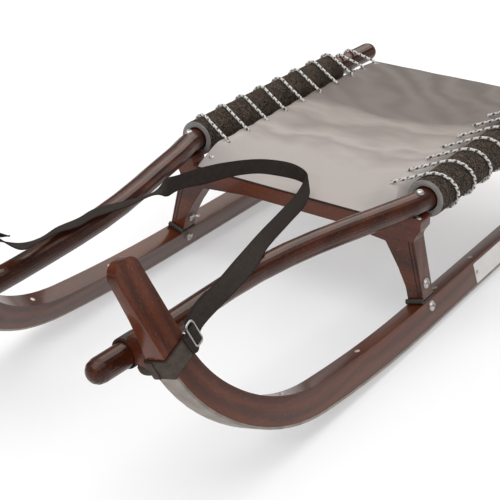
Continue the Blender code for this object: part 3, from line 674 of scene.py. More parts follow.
seat = {"front": -0.034, "tail": 0.4475, "holeLine": 0.1335, "holeInset": 0.010, "tabHalf": 0.1635,
        "tabRound": 0.009, "scallop": 0.003, "start": 0.149, "rimHigh": 0.183, "middleHigh": 0.1765,
        "rimRise": 0.035, "middleFrom": -0.007, "middleRise": 0.117, "tailFrom": 0.300, "level": 0.36,
        "thick": 0.0014, "holeRound": 0.0034, "pitch": 0.051, "firstHole": 0.0045,
        "rearHoles": (0.361, 0.402, 0.4385)}
holes = [seat["firstHole"] + seat["pitch"] * index for index in range(7)] + list(seat["rearHoles"])


def eased(share):
    share = min(1.0, max(0.0, share))
    return share * share * (3 - 2 * share)


def sheetHeight(station, share=1.0):  # share: how far out from the middle, where the row of holes is 1
    climb = eased((station - seat["front"]) / seat["rimRise"])
    rim = seat["start"] + (seat["rimHigh"] - seat["start"]) * climb
    climb = eased((station - seat["middleFrom"]) / seat["middleRise"])
    middle = seat["start"] + (seat["middleHigh"] - seat["start"]) * climb
    climb = eased((station - seat["tailFrom"]) / (seat["tail"] - seat["tailFrom"]))
    middle += (seat["rimHigh"] - seat["middleHigh"]) * climb
    bowl = max(0.0, share - seat["level"]) / (1 - seat["level"])
    return middle + (rim - middle) * min(1.0, bowl) ** 2


def sheetEdge(station):
    half = seat["holeLine"] + seat["holeInset"]
    share = eased((station - seat["front"]) / (seat["firstHole"] - seat["front"]))
    wave = 0.5 - 0.5 * math.cos(2 * math.pi * (station - seat["firstHole"]) / seat["pitch"])
    corner = max(0.0, seat["tabRound"] - (station - seat["front"]))
    corner = seat["tabRound"] - math.sqrt(seat["tabRound"] ** 2 - corner ** 2)
    return seat["tabHalf"] + (half - seat["tabHalf"]) * share - seat["scallop"] * wave * (share >= 1) - corner


lacing = {"round": 0.0022, "sleeve": 0.0288, "bare": 0.0184, "slack": 0.0006, "lobes": 3, "lay": 0.013,
          "dropEnd": 0.009, "dropLong": 0.008, "white": (0.74, 0.72, 0.68), "tracer": (0.012, 0.010, 0.010),
          "stain": (0.42, 0.39, 0.35), "strandShade": (0.30, 0.28, 0.26), "beat": 1.7, "lane": 0.60, "dash": 0.50,
          "advance": ((-2.0, 0.22), (-1.4, 0.38), (0, 0.68), (0.8, 0.76), (1.57, 0.82), (2.4, 0.88))}


def woundRound(station):  # the cord drops from the foam to the bare wood just past the sleeve's end
    share = eased((luge["sleeve"] + lacing["dropEnd"] - station) / lacing["dropLong"])
    return lacing["bare"] + (lacing["sleeve"] - lacing["bare"]) * share


def wrapLine(station, nextStation, stop=None, steps=28):  # one turn round the sleeve from hole to hole
    rise = sheetHeight(station) - luge["high"]
    reach = math.hypot(seat["holeLine"] - luge["span"], rise)
    towards = math.atan2(rise, seat["holeLine"] - luge["span"]) % (2 * math.pi)
    angles, shares = zip(*lacing["advance"])
    openings = [math.acos(min(1.0, woundRound(station + (nextStation - station) * share) / reach))
                for share in (shares[0], shares[-1])]
    first, last = towards - openings[0], towards + openings[1] - 2 * math.pi if stop is None else stop
    points = []
    for step in range(steps + 1):
        swing = first + (last - first) * step / steps
        spot = station + (nextStation - station) * float(np.interp(-swing, angles, shares))
        points.append((luge["span"] + woundRound(spot) * math.cos(swing), spot,
                       luge["high"] + woundRound(spot) * math.sin(swing)))
    return points


def holeTurn(station):
    turnRound = seat["thick"] / 2 + luge["gap"] + lacing["round"] + lacing["slack"]
    return [(seat["holeLine"] + turnRound * (1 + math.cos(swing)), station,
             sheetHeight(station) + turnRound * math.sin(swing))
            for swing in [math.radians(turn) for turn in (-90, -135, -180, -225, -270)]]


def laceLine():
    points = holeTurn(holes[0])
    for station, following in zip(holes, holes[1:]):
        points += wrapLine(station, following)
        points += holeTurn(following)
    points += wrapLine(holes[-1], holes[-1] + seat["pitch"] / 2, math.radians(-70))
    return [(across, station + luge["front"], height) for across, station, height in points]


def makeLaceMaterial():
    mat, tree, shader = newMaterial("laceCord", Roughness=0.7, Sheen_Weight=0.2)
    around, reach = axesOf(tree, addNode(tree, "ShaderNodeUVMap").outputs[0])[:2]
    around = maths(tree, "DIVIDE", around, 2 * math.pi * lacing["round"])
    along = maths(tree, "DIVIDE", reach, lacing["lay"])
    lane = scaled(tree, around, 2.0, along)
    beat = scaled(tree, maths(tree, "FLOOR", lane), 0.5, times(tree, along, lacing["beat"]))
    tracer = times(tree, maths(tree, "LESS_THAN", maths(tree, "FRACT", lane), lacing["lane"]),
                   maths(tree, "LESS_THAN", maths(tree, "FRACT", beat), lacing["dash"]))
    strands = scaled(tree, around, 9.0, times(tree, along, 9.0))
    yarn = maths(tree, "SINE", times(tree, strands, math.pi * 2))
    soil = useGroup(tree, soilGroup, Vector=objectPlace(tree), Scale=45.0)
    colour = mixColour(tree, times(tree, soil.outputs["Stain"], 0.3), lacing["white"], lacing["stain"])
    # painted shade between the cord's strands, following the yarn's relief
    colour = mixColour(tree, scaled(tree, yarn, 0.08, 0.08), colour, lacing["strandShade"])
    colour = mixColour(tree, times(tree, tracer, 0.92), colour, lacing["tracer"])
    plug(tree, shader, Base_Color=colour, Normal=bump(tree, yarn, 0.4, 0.0002))
    return mat


laceCord = makeLaceMaterial()


def cordMesh(name):  # three strands laid round each other
    def strand(turn, reach):
        return 0.95 + 0.10 * math.cos(lacing["lobes"] * (turn + 2 * math.pi * reach / lacing["lay"]))
    return wireMesh(name, laceLine(), lacing["round"], 12, pitch=0.0013, shape=strand)


bothSides("lacingCord", cordMesh, laceCord, 75, ["lacing_"])


def lacingKnot(name):  # stopper knot where the cord ends on the spar
    end = Vector(laceLine()[-1])
    points = []
    for turn in turns(60):
        points.append(end + Vector((0.0040 * math.sin(2 * turn) * (1 + 0.3 * math.cos(3 * turn)),
                                    0.0052 * math.sin(turn) + 0.0015 * math.cos(3 * turn),
                                    -0.0022 + 0.0040 * math.cos(3 * turn) * 0.7)))
    return wireMesh(name, points, lacing["round"], 12, True, 0.0014)


bothSides("lacingKnot", lacingKnot, laceCord, 75)
print("lacing made")

cloth = {"rim": (0.035, 0.028, 0.026), "rimWide": 0.0016,
         "stops": ((0.0, (0.455, 0.412, 0.388)), (0.34, (0.455, 0.412, 0.388)), (0.42, (0.33, 0.29, 0.27)),
                   (0.455, (0.43, 0.39, 0.36)), (0.56, (0.27, 0.232, 0.212)), (0.60, (0.36, 0.32, 0.29)),
                   (0.72, (0.166, 0.138, 0.126)), (1.0, (0.132, 0.110, 0.100))),
         "swirl": (0.40, 0.36, 0.33), "stain": (0.30, 0.27, 0.25), "yarn": (0.16, 0.14, 0.13),
         "rows": 190, "columns": 64, "crease": 0.0011, "foldWide": 0.0045, "foldSpread": 0.10,
         "foldLong": 0.034, "foldFrom": 0.010, "foldReach": 0.03, "ripple": 0.0006, "marginOut": 0.0140,
         "marginDown": 0.0128, "marginEnd": 0.392,
         "margin": ((0.2, -0.10), (0.45, -0.34), (0.72, -0.66), (1.0, -1.0))}


def makeCloth():  # plain tones from front to rear, fine weave, and a dark band at the front and rear ends that is partly the bound edge and partly painted shadow
    mat, tree, shader = newMaterial("seatCloth", Roughness=0.6, Specular_IOR_Level=0.25)
    place = objectPlace(tree)
    across, along = axesOf(tree, place)[:2]
    soft = cloud(tree, placed(tree, place, (5, 9, 1)), 1.0, 3, 0.55)
    reach = scaled(tree, across, -0.16, scaled(tree, soft, 0.22, along))
    colour = ramp(tree, scaled(tree, reach, 2.25, -0.13, clamp=True), cloth["stops"])
    swirl = addNode(tree, "ShaderNodeTexWave",
                    {"Scale": 9.0, "Distortion": 7.0, "Detail": 2.5, "Detail Scale": 1.2},
                    bands_direction="DIAGONAL")
    tree.links.new(place, swirl.inputs["Vector"])
    share = times(tree, times(tree, swirl.outputs[1], scaled(tree, along, 3.2, -0.42, clamp=True)), 0.20)
    colour = mixColour(tree, share, colour, cloth["swirl"])
    weave = useGroup(tree, weaveGroup, Vector=place, Pitch=0.0012)
    soil = useGroup(tree, soilGroup, Vector=place, Scale=9.0)
    colour = mixColour(tree, times(tree, soil.outputs["Stain"], 0.16), colour, cloth["stain"])
    # yarn tone with painted shade from the weave's relief
    colour = mixColour(tree, times(tree, weave.outputs["ToneAndShade"], 0.10), colour, cloth["yarn"])
    middle = luge["front"] + (seat["front"] + seat["tail"]) / 2
    away = maths(tree, "ABSOLUTE", maths(tree, "SUBTRACT", along, middle))
    # bound edge and painted shadow: a thin dark band across both ends, the front one where the sheet meets the
    # crossbar
    rim = maths(tree, "GREATER_THAN", away, (seat["tail"] - seat["front"]) / 2 - cloth["rimWide"])
    colour = mixColour(tree, rim, colour, cloth["rim"])
    plug(tree, shader, Base_Color=colour, Normal=bump(tree, weave.outputs["Height"], 0.25, 0.0003))
    return mat


def crease(across, station):  # folds of the stretched cloth that run inwards from its holes
    lift = 0.0
    for hole in holes:
        apart, inwards = station - hole, seat["holeLine"] - abs(across)
        if abs(apart) > cloth["foldReach"] or inwards < -0.002:
            continue
        narrow = math.exp(-(apart / (cloth["foldWide"] + inwards * cloth["foldSpread"])) ** 2)
        start = 1 - math.exp(-(math.hypot(apart, inwards) / cloth["foldFrom"]) ** 2)
        lift += narrow * math.exp(-inwards / cloth["foldLong"]) * start
    return lift * cloth["crease"]


def makeSheet():
    rows = [seat["front"] + seat["tabRound"] * share for share in (0, 0.03, 0.1, 0.2, 0.35, 0.55, 0.8)]
    long = seat["tail"] - seat["front"] - seat["tabRound"]
    rows += [seat["front"] + seat["tabRound"] + long * step / cloth["rows"]
             for step in range(cloth["rows"] + 1)]
    work = bmesh.new()
    grid = []
    for row in rows:
        line = []
        for column in range(cloth["columns"] + 1):
            across = sheetEdge(row) * (2 * column / cloth["columns"] - 1)
            ripple = cloth["ripple"] * noise.noise(Vector((across * 26, row * 14, 3.0)))
            height = sheetHeight(row, abs(across) / seat["holeLine"]) + ripple * eased((row - 0.01) / 0.05)
            height += crease(across, row) * eased(row / 0.03)
            line.append((across, height - seat["thick"] / 2))
        tail = eased((cloth["marginEnd"] - row) / 0.020)  # the margin under the sleeves fades out here
        far, near = [[(way * (sheetEdge(row) + out * turned * cloth["marginOut"]),
                       line[-1][1] + down * turned * cloth["marginDown"]) for out, down in cloth["margin"]]
                     for way, turned in ((-1, eased((row - 0.008) / 0.020) * tail),
                                         (1, eased((row + 0.014) / 0.016) * tail))]
        grid.append([work.verts.new((across, row + luge["front"], height))
                     for across, height in far[::-1] + line + near])
    for first, second in zip(grid, grid[1:]):
        for index in range(len(first) - 1):
            work.faces.new((first[index], first[index + 1], second[index + 1], second[index]))
    bmesh.ops.remove_doubles(work, verts=work.verts, dist=0.00001)
    drills = bmesh.new()
    for hole in holes:
        for way in (-1, 1):
            spot = Matrix.Translation((way * seat["holeLine"], hole + luge["front"], sheetHeight(hole)))
            bmesh.ops.create_cone(drills, cap_ends=True, segments=20, radius1=seat["holeRound"],
                                  radius2=seat["holeRound"], depth=0.012, matrix=spot)
    return carved(finished(work, "seatSheet"), [finished(drills, "drills")], seat["thick"])


sheetPiece = addPiece("seatSheet", makeSheet(), makeCloth(), 50)
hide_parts("seat_sheet")
print("seat sheet made")

# end: radius and depth from the bore outwards; the dark colour is painted shade in the cracks, the crest colour
# a painted highlight on the raised crests
foam = {"outer": 0.0262, "pitch": 0.0022, "sides": 84, "ridge": 0.00035, "wave": 0.00025, "sink": 0.0002,
        "dark": (0.0040, 0.0028, 0.0022), "skin": (0.036, 0.026, 0.020), "litCrest": (0.290, 0.215, 0.160),
        "cut": (0.46, 0.44, 0.41), "cell": (0.12, 0.11, 0.105), "notchSize": (0.06, 0.0286, 0.030),
        "notchStation": 0.3250, "notchTop": 0.1625,
        "end": ((0.0160, 0.0120), (0.0164, 0.0040), (0.0174, 0.0006), (0.0182, 0.0), (0.0215, -0.0001),
                (0.0246, 0.0), (0.0257, 0.0005), (0.0262, 0.0018))}


def makeFoam():  # crazed skin with painted shade in its cracks and a painted highlight on its raised crests, and a pale cut end
    mat, tree, shader = newMaterial("sleeveFoam", Roughness=0.7, Specular_IOR_Level=0.12)
    place = objectPlace(tree)
    warp = cloud(tree, placed(tree, place, (150, 330, 150)), 1.0, 2.0, 0.5, 1.6)
    shadedCrack = times(tree, maths(tree, "ABSOLUTE", maths(tree, "SUBTRACT", warp, 0.5)), 9.0, clamp=True)
    cells = cloud(tree, place, 1500, 2.0)
    litCrest = cloud(tree, placed(tree, place, (120, 310, 120)), 1.0, 1.0, 0.5, 2.4)
    litCrest = scaled(tree, maths(tree, "ABSOLUTE", maths(tree, "SUBTRACT", litCrest, 0.5)), -17.0, 1.0, clamp=True)
    # painted shade: the cracks, which the bump sinks, are darkened
    colour = mixColour(tree, shadedCrack, foam["dark"], foam["skin"])
    # painted highlight on the raised crests
    colour = mixColour(tree, times(tree, litCrest, 0.9), colour, foam["litCrest"])
    middle = luge["front"] + luge["sleeve"] / 2
    away = maths(tree, "ABSOLUTE", maths(tree, "SUBTRACT", axesOf(tree, place)[1], middle))
    end = maths(tree, "GREATER_THAN", away, luge["sleeve"] / 2 - 0.0005)
    colour = mixColour(tree, end, colour, mixColour(tree, cells, foam["cut"], foam["cell"]))
    height = scaled(tree, cells, 0.2, maths(tree, "ADD", shadedCrack, times(tree, litCrest, 0.5)))
    plug(tree, shader, Base_Color=colour, Normal=bump(tree, height, 0.9, 0.0009))
    return mat


def sleeveMesh(name):
    long, rim = luge["sleeve"], foam["end"][-1][1]
    count = int((long - 2 * rim) / foam["pitch"])
    rows = list(foam["end"])
    rows += [(foam["outer"], rim + (long - 2 * rim) * step / count) for step in range(1, count)]
    rows += [(radius, long - along) for radius, along in reversed(foam["end"])]
    rings = []
    for radius, along in rows:
        ring = []
        for turn in turns(foam["sides"]):
            over, up = math.cos(turn), math.sin(turn)
            ridge = abs(noise.noise(Vector((over * 5.5, along * 190, up * 5.5)))) if radius > 0.026 else 0.0
            wave = foam["wave"] * noise.noise(Vector((over * 1.3, along * 22, up * 1.3)))
            reach = radius - foam["sink"] + (foam["ridge"] * (1 - 2.4 * ridge) + wave) * (radius > 0.024)
            reach = min(reach, foam["outer"] + 0.00012)
            ring.append((luge["span"] + reach * over, luge["front"] + along, luge["high"] + reach * up))
        rings.append(ring)
    notch = bmesh.new()
    size = foam["notchSize"]
    spot = (luge["span"], luge["front"] + foam["notchStation"], foam["notchTop"] - size[2] / 2)
    bmesh.ops.create_cube(notch, size=1.0, matrix=Matrix.Translation(spot) @ Matrix.Diagonal((*size, 1)))
    return carved(ringMesh(name, rings, True), [finished(notch, "archNotch")])


for sleeve in bothSides("foamSleeve", sleeveMesh, makeFoam(), 45, ["sleeve_"]):
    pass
print("foam sleeves made")

# bends: radius, slope at the end and steps; scoop: depth and height of the cut in a horn's inner side
runner = {"width": 0.0257, "depth": 0.0372, "rail": 0.0033, "railStop": math.radians(68), "hornTop": 0.307,
          "horn": math.radians(72.15), "tipRound": 0.0155, "tailRound": 0.020, "topEdge": 0.0042,
          "soleEdge": 0.0012, "soleReach": 0.028, "hornFrom": 0.19, "sharp": math.radians(50),
          "flat": (0.400, -0.050), "scoopLong": 0.15, "scoopLead": 0.075,
          "bends": ((2.2, 0.245 / 2.2, 14), (0.291, math.radians(47.1), 26),
                    (0.2153, math.radians(72.15), 14)),
          "scoop": ((-0.01, 0.192), (0, 0.192), (0.0032, 0.2058), (0.0070, 0.2224), (0.0104, 0.2444),
                    (0.01305, 0.2748), (0.0145, 0.330), (-0.01, 0.330))}


def solePath():  # station, height and slope of a runner's sole from tail to horn
    path = [(station, 0.0, 0.0) for station in runner["flat"]]
    along, height, slope = path[-1]
    for radius, end, steps in runner["bends"]:
        share = (end - slope) / steps
        for step in range(steps):
            slope += share
            along -= radius * share * math.cos(slope - share / 2)
            height += radius * share * math.sin(slope - share / 2)
            path.append((along, height, slope))
    return path


def raised(depth, spots):  # the sole's line moved into the runner
    return [(along + depth * math.sin(slope), height + depth * math.cos(slope))
            for along, height, slope in spots]


def runnerMesh(name):
    def hornEnd(spot):
        return spot[0] - (runner["hornTop"] - spot[1]) / math.tan(runner["horn"]), runner["hornTop"]

    path = solePath()
    railed = [spot for spot in path if spot[2] <= runner["railStop"]]
    bare = [spot for spot in path if spot[2] > runner["railStop"]]
    low = raised(runner["rail"], railed) + raised(0, railed[-1:] + bare)
    low.append(hornEnd(low[-1]))
    high = raised(runner["depth"], path)
    high.append(hornEnd(high[-1]))
    corners = [(spot, 0) for spot in low[:-1]] + [(spot, runner["tipRound"]) for spot in (low[-1], high[-1])]
    corners += [(spot, 0) for spot in reversed(high[1:-1])] + [(high[0], runner["tailRound"])]
    scoop = slabMesh("scoop", runner["scoop"], 0, runner["scoopLong"])
    start = high[-1][0] - runner["scoopLead"]
    scoop.transform(Matrix(((0, 0, 1, start), (0, 1, 0, 0), (1, 0, 0, 0), (0, 0, 0, 1))))
    scoop.flip_normals()
    mesh = carved(slabMesh(name, rounded(corners), 0, runner["width"]), [scoop])
    soleLine = np.array(low)

    def onTop(edge):
        middle = (edge.verts[0].co + edge.verts[1].co) / 2
        away = float(np.min(np.hypot(soleLine[:, 0] - middle.x, soleLine[:, 1] - middle.y)))
        return away > runner["soleReach"] or middle.y > runner["hornFrom"]

    soften(mesh, runner["sharp"], ((onTop, runner["topEdge"], 5),
                                   (lambda edge: not onTop(edge), runner["soleEdge"], 2)))
    mesh.transform(leanTurn)
    return mesh


bothSides("runnerWood", runnerMesh, runnerWood, 32, ["runner_"])
print("runners made")

band = {"wide": 0.0245, "thick": 0.0016, "tilt": math.radians(72), "hornStation": -0.5031, "hornUp": 0.1861,
        "sparAlong": (0.028, 1.0, -0.003), "pitch": 0.0012, "lapLift": 0.0017, "lapWide": 0.97,
        "laps": {"horn": (0.62, 1.10), "spar": (0.05, 0.45)}}


def hull(points):  # convex outline round flat points, anticlockwise
    points = sorted(set(points))
    chains = []
    for run in (points, points[::-1]):
        chain = []
        for spot in run:
            while len(chain) > 1 and ((chain[-1][0] - chain[-2][0]) * (spot[1] - chain[-2][1])
                                      - (chain[-1][1] - chain[-2][1]) * (spot[0] - chain[-2][0])) <= 0:
                chain.pop()
            chain.append(spot)
        chains.append(chain[:-1])
    return chains[0] + chains[1]


def hornFrame():
    sine, cosine = math.sin(band["tilt"]), math.cos(band["tilt"])
    turn = Matrix(((0, sine, -cosine, band["hornStation"]), (0, cosine, sine, band["hornUp"]),
                   (1, 0, 0, runner["width"] / 2), (0, 0, 0, 1)))
    return leanTurn @ turn


def sparFrame():
    spots = [vertex.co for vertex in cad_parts["spar_band_left"].data.vertices]
    along = Vector(band["sparAlong"]).normalized()
    wide = Vector((1, 0, 0))
    wide = (wide - along * wide.dot(along)).normalized()
    turn = Matrix((wide, along.cross(wide), along)).transposed().to_4x4()
    low = Vector([min(spot[axis] for spot in spots) for axis in range(3)])
    high = Vector([max(spot[axis] for spot in spots) for axis in range(3)])
    return Matrix.Translation((low + high) / 2) @ turn


bandFrames = {"horn": hornFrame(), "spar": sparFrame()}


def bandLoop(word):  # even line round the outside of a CAD band, in the band's own frame
    back = bandFrames[word].inverted()
    flat = [back @ vertex.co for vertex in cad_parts[word + "_band_left"].data.vertices]
    core = hull([(round(spot.x, 5), round(spot.y, 5)) for spot in flat])
    return evenLine([Vector((x, y, 0)) for x, y in core], band["pitch"], True)


def bandMesh(name, word, lift=0.0, first=0.0, last=1.0, wide=1.0):
    line, stand = bandLoop(word), bandFrames[word]
    count = len(line)
    turn = frames(line, True)
    rings = []
    for row in range(count) if last - first >= 1 else range(int(first * count), int(last * count)):
        forward = turn[row % count][0]
        out = Vector((forward.y, -forward.x, 0))
        middle = line[row % count] + out * (lift - band["thick"] / 2)
        ring = bandRing(middle, Vector((0, 0, 1)), out, band["wide"] * wide, band["thick"])
        rings.append([stand @ spot for spot in ring])
    return ringMesh(name, rings, last - first >= 1)


for word in bandFrames:
    bothSides(word + "Strap", lambda name: bandMesh(name, word), bandWeb, 60, [word + "_band_"])
for word, part in band["laps"].items():
    bothSides(word + "StrapLap", lambda name: bandMesh(name, word, band["lapLift"], *part, band["lapWide"]),
              bandWeb, 60)

block = {"low": 0.1795, "high": 0.2135, "long": 0.0255, "skin": 0.0026, "lead": 0.007, "edge": 0.0016,
         "inside": 0.0052, "step": 0.004, "rounds": (0.003, 0.004), "sharp": 0.9,
         "seats": ((0.0152, 0.05), (0.0176, 0.0128))}  # radius and half length of each cut


def blockMesh(name):  # wooden block that fills the place between spar and horn
    stand = bandFrames["spar"]
    low, high = [leanTurn @ Vector((0, up, -block["skin"])) for up in (block["low"], block["high"])]
    inner = stand.translation.x + block["inside"]
    lowRound, highRound = block["rounds"]
    outline = rounded([((inner, low.z + block["step"]), lowRound), ((low.x, low.z), 0), ((high.x, high.z), 0),
                       ((inner, high.z), highRound)])
    middle = luge["front"] + band["hornStation"] - block["lead"]
    mesh = slabMesh(name, outline, 0, block["long"])
    mesh.transform(Matrix(((1, 0, 0, 0), (0, 0, -1, middle + block["long"] / 2), (0, 1, 0, 0), (0, 0, 0, 1))))
    cutters = [wireMesh("seatCut", [stand @ Vector((0, 0, -reach)), stand @ Vector((0, 0, reach))], radius,
                        40, pitch=0.02) for radius, reach in block["seats"]]
    mesh = carved(mesh, cutters)

    def outer(edge):
        return all(vertex.co.x > inner + 0.008 or vertex.co.z > high.z - 0.003 for vertex in edge.verts)

    soften(mesh, block["sharp"], ((outer, block["edge"], 3),))
    return mesh


bothSides("hornBlock", blockMesh, blockWood, 35, ["horn_block_"])

link = {"wide": 0.013, "thick": 0.0034, "upright": (0, 0.35, 1),
        "points": ((0.1235, -0.4850, 0.1660), (0.1310, -0.4895, 0.1655), (0.1400, -0.4925, 0.1680),
                   (0.1500, -0.4925, 0.1725))}


def strapLink(name):  # short tab of webbing that ties the two bands together at the front
    points = spline(link["points"], 6)
    upright = Vector(link["upright"])
    rings = []
    for index, middle in enumerate(points):
        ahead = points[min(index + 1, len(points) - 1)] - points[max(index - 1, 0)]
        arm = (upright - ahead * upright.dot(ahead) / ahead.length_squared).normalized()
        rings.append(bandRing(middle, arm, ahead.cross(arm).normalized(), link["wide"], link["thick"]))
    return ringMesh(name, rings)


bothSides("strapLink", strapLink, bandWeb, 60)

stitch = {"share": 0.80, "rows": (-0.0098, -0.0035, 0.0035, 0.0098), "count": 7, "pitch": 2.6,
          "size": (0.00115, 0.00042, 0.00030, 1), "dark": (0.02, 0.018, 0.017), "pale": (0.11, 0.10, 0.095)}


def stitchMesh(name):  # box of thread stitches on the doubled part of the horn's band
    line, stand = bandLoop("horn"), bandFrames["horn"]
    turn = frames(line, True)
    work = bmesh.new()
    side = Vector((0, 0, 1))
    for row in stitch["rows"]:
        for step in range(stitch["count"]):
            index = (int(stitch["share"] * len(line)) + int(step * stitch["pitch"])) % len(line)
            forward = turn[index][0]
            out = Vector((forward.y, -forward.x, 0))
            spot = Matrix.Translation(line[index] + out * (band["lapLift"] + 0.00005) + side * row)
            basis = Matrix((forward, side, out)).transposed().to_4x4()
            bmesh.ops.create_uvsphere(work, u_segments=8, v_segments=5, radius=1.0,
                                      matrix=stand @ spot @ basis @ Matrix.Diagonal(stitch["size"]))
    return finished(work, name)


def makeThread():
    mat, tree, shader = newMaterial("stitchThread", Roughness=0.6)
    place = objectPlace(tree)
    yarn = cloud(tree, placed(tree, place, (1500, 1500, 1500)), 1.0, 2)
    plug(tree, shader, Base_Color=mixColour(tree, yarn, stitch["dark"], stitch["pale"]),
         Normal=bump(tree, yarn, 0.4, 0.0001))
    return mat


bothSides("hornStitches", stitchMesh, makeThread())
print("bands, laps and stitches made")

# profiles are pairs of radius and height; places of the leg's and foot's bolts are across and up
bolt = {"dome": ((0.0001, 0.0013), (0.0020, 0.0012), (0.0022, 0.0031), (0.0030, 0.0034), (0.0042, 0.0029),
                 (0.0051, 0.0018), (0.0056, 0.0006), (0.0056, -0.0012), (0.0001, -0.0012)),
        "screw": ((0.0001, 0.0005), (0.0012, 0.0005), (0.0013, 0.0011), (0.0026, 0.0010), (0.0036, 0.0004),
                  (0.0040, -0.0008), (0.0001, -0.0008)),
        "washer": ((0.0001, 0.0007), (0.0068, 0.0007), (0.0071, 0.0003), (0.0071, -0.0008),
                   (0.0001, -0.0008)),
        "rivet": ((0.0001, -0.0002), (0.0016, -0.0002), (0.0018, 0.0006), (0.0026, 0.0011), (0.0036, 0.0008),
                  (0.0043, 0.0001), (0.0044, -0.0016), (0.0001, -0.0016)),
        "nut": ((0.00352, 0.0040), (0.00384, 0.0052), (0.005888, 0.0052), (0.0064, 0.0046),
                (0.0064, -0.0004), (0.00192, -0.0004)),
        "spar": (luge["span"], 0.0090, luge["high"] + luge["round"] - 0.0002),
        "head": (0.1935, -0.0035, 0.1622), "tab": (0.1468, -0.0180, 0.0006), "tabAxis": (0, -0.55, 0.83),
        "leg": (0.2077, 0.0661), "legAxis": (0.9723, 0, 0.2337), "legNut": (0.1858, 0.0600),
        "legNutAxis": (-0.8916, 0, -0.4527), "foot": (0.2177, 0.0340), "footNut": (0.1935, 0.0240),
        "railScrews": (0.019, -0.190, -0.350, 0.130, 0.240, 0.370)}


def runnerTop(station):  # height and slope of a runner's top line
    path = solePath()
    along, heights = zip(*raised(runner["depth"], path))
    reach, slopes = [-spot for spot in along], [slope for start, height, slope in path]
    return float(np.interp(-station, reach, heights)), float(np.interp(-station, reach, slopes))


def bolts(boltName, shape, place, axis, sides=28):
    bothSides(boltName, lambda name: turnedMesh(name, bolt[shape], place, axis, sides), boltSteel, 30)


archAt = {"Front": luge["front"] - 0.021, "Rear": luge["front"] + 0.325}

footAt = {"Front": archAt["Front"] + 0.002, "Rear": archAt["Rear"]}
bolts("sparBolt", "dome", bolt["spar"], (0, 0, 1))
for end in archAt:
    for part, (across, up), stations, axis in (("leg", bolt["leg"], archAt, bolt["legAxis"]),
                                               ("foot", bolt["foot"], footAt, lean)):
        bolts(part + "Bolt" + end, "dome", (across, stations[end], up), axis)
        bolts(part + "Bolt" + end + "Washer", "washer", (across, stations[end], up), axis)
inward = (-lean[0], 0, -lean[2])
for end in archAt:
    for part, (across, up), stations, axis in (("leg", bolt["legNut"], archAt, bolt["legNutAxis"]),
                                               ("foot", bolt["footNut"], footAt, inward)):
        bolts(part + "Nut" + end, "nut", (across, stations[end], up), axis, 6)
for index, station in enumerate(bolt["railScrews"]):
    height, slope = runnerTop(station)
    axis = leanTurn.to_3x3() @ Vector((math.sin(slope), math.cos(slope), 0))
    bolts("railScrew%d" % index, "screw", leanTurn @ Vector((station, height, runner["width"] / 2)), axis)
across, station, lift = bolt["tab"]
bolts("tabRivet", "rivet", (across, luge["front"] + station, sheetHeight(station) + lift), bolt["tabAxis"])
bolts("headBolt", "rivet", bolt["head"], (0, 0, 1))

eyelet = {"round": 0.0044, "wire": 0.0007, "lift": 0.0007}


def eyeletMesh(name):  # ring in the last hole
    line = [(seat["holeLine"] + eyelet["round"] * math.cos(turn),
             holes[-1] + luge["front"] + eyelet["round"] * math.sin(turn),
             sheetHeight(holes[-1]) + eyelet["lift"]) for turn in turns(24)]
    return wireMesh(name, line, eyelet["wire"], 8, True, 0.001)


bothSides("rearEyelet", eyeletMesh, boltSteel, 60)
print("bolts, nuts and rivets made")

# thin dark wood lines down the arch legs' faces: painted shade standing in for the grooves there
grooveShade = {"round": 0.0008, "lines": (((0.1837, 0.1265), (0.2036, 0.0530)),
                                   ((0.1893, 0.1265), (0.2087, 0.0530))),
        "faces": (("Front", archAt["Front"] - 0.0140), ("Rear", archAt["Rear"] + 0.0140))}
# wood darkened for the painted shade in the grooves
grooveShadeWood = makeWood("grooveShadeWood", (0.3, 0, 0), (0, 0, 0), deep=0.22)


def grooveShadeMesh(name, top, foot, face):
    return wireMesh(name, [(top[0], face, top[1]), (foot[0], face, foot[1])], grooveShade["round"], 10, pitch=0.006)


for index, (top, foot) in enumerate(grooveShade["lines"]):
    for word, face in grooveShade["faces"]:
        bothSides("legBead%s%d" % (word, index), lambda name: grooveShadeMesh(name, top, foot, face), grooveShadeWood)

plate = {"front": 0.112, "rear": 0.212, "low": 0.004, "high": 0.0335, "thick": 0.0007, "corner": 0.0022,
         "pale": (0.74, 0.72, 0.70), "worn": (0.52, 0.49, 0.46), "spot": (0.25, 0.23, 0.21),
         "screwInset": 0.005, "screwUp": 0.0187}


def plateMesh():
    thick = plate["thick"]
    middle = Vector(((plate["front"] + plate["rear"]) / 2, (plate["low"] + plate["high"]) / 2,
                     runner["width"]))
    halfLong, halfHigh = (plate["rear"] - plate["front"]) / 2, (plate["high"] - plate["low"]) / 2
    rings = []
    for inset, level in ((0.0, -0.0002), (0.0, thick * 0.6), (0.0004, thick), (0.0030, thick),
                         (0.0034, thick * 0.75)):
        rings.append([leanTurn @ (middle + Vector((along, up, level))) for along, up in
                      cornered(halfLong - inset, halfHigh - inset, plate["corner"], 40)])
    return ringMesh("blankPlate", rings)


def makePlateMaterial():
    mat, tree, shader = newMaterial("plateLacquer", Roughness=0.35)
    place = objectPlace(tree)
    soil = useGroup(tree, soilGroup, Vector=place, Scale=40.0)
    colour = mixColour(tree, times(tree, soil.outputs["Stain"], 0.35), plate["pale"], plate["worn"])
    colour = mixColour(tree, times(tree, soil.outputs["Speck"], 0.5), colour, plate["spot"])
    plug(tree, shader, Base_Color=colour, Normal=bump(tree, cloud(tree, place, 700, 2), 0.1, 0.0002))
    return mat


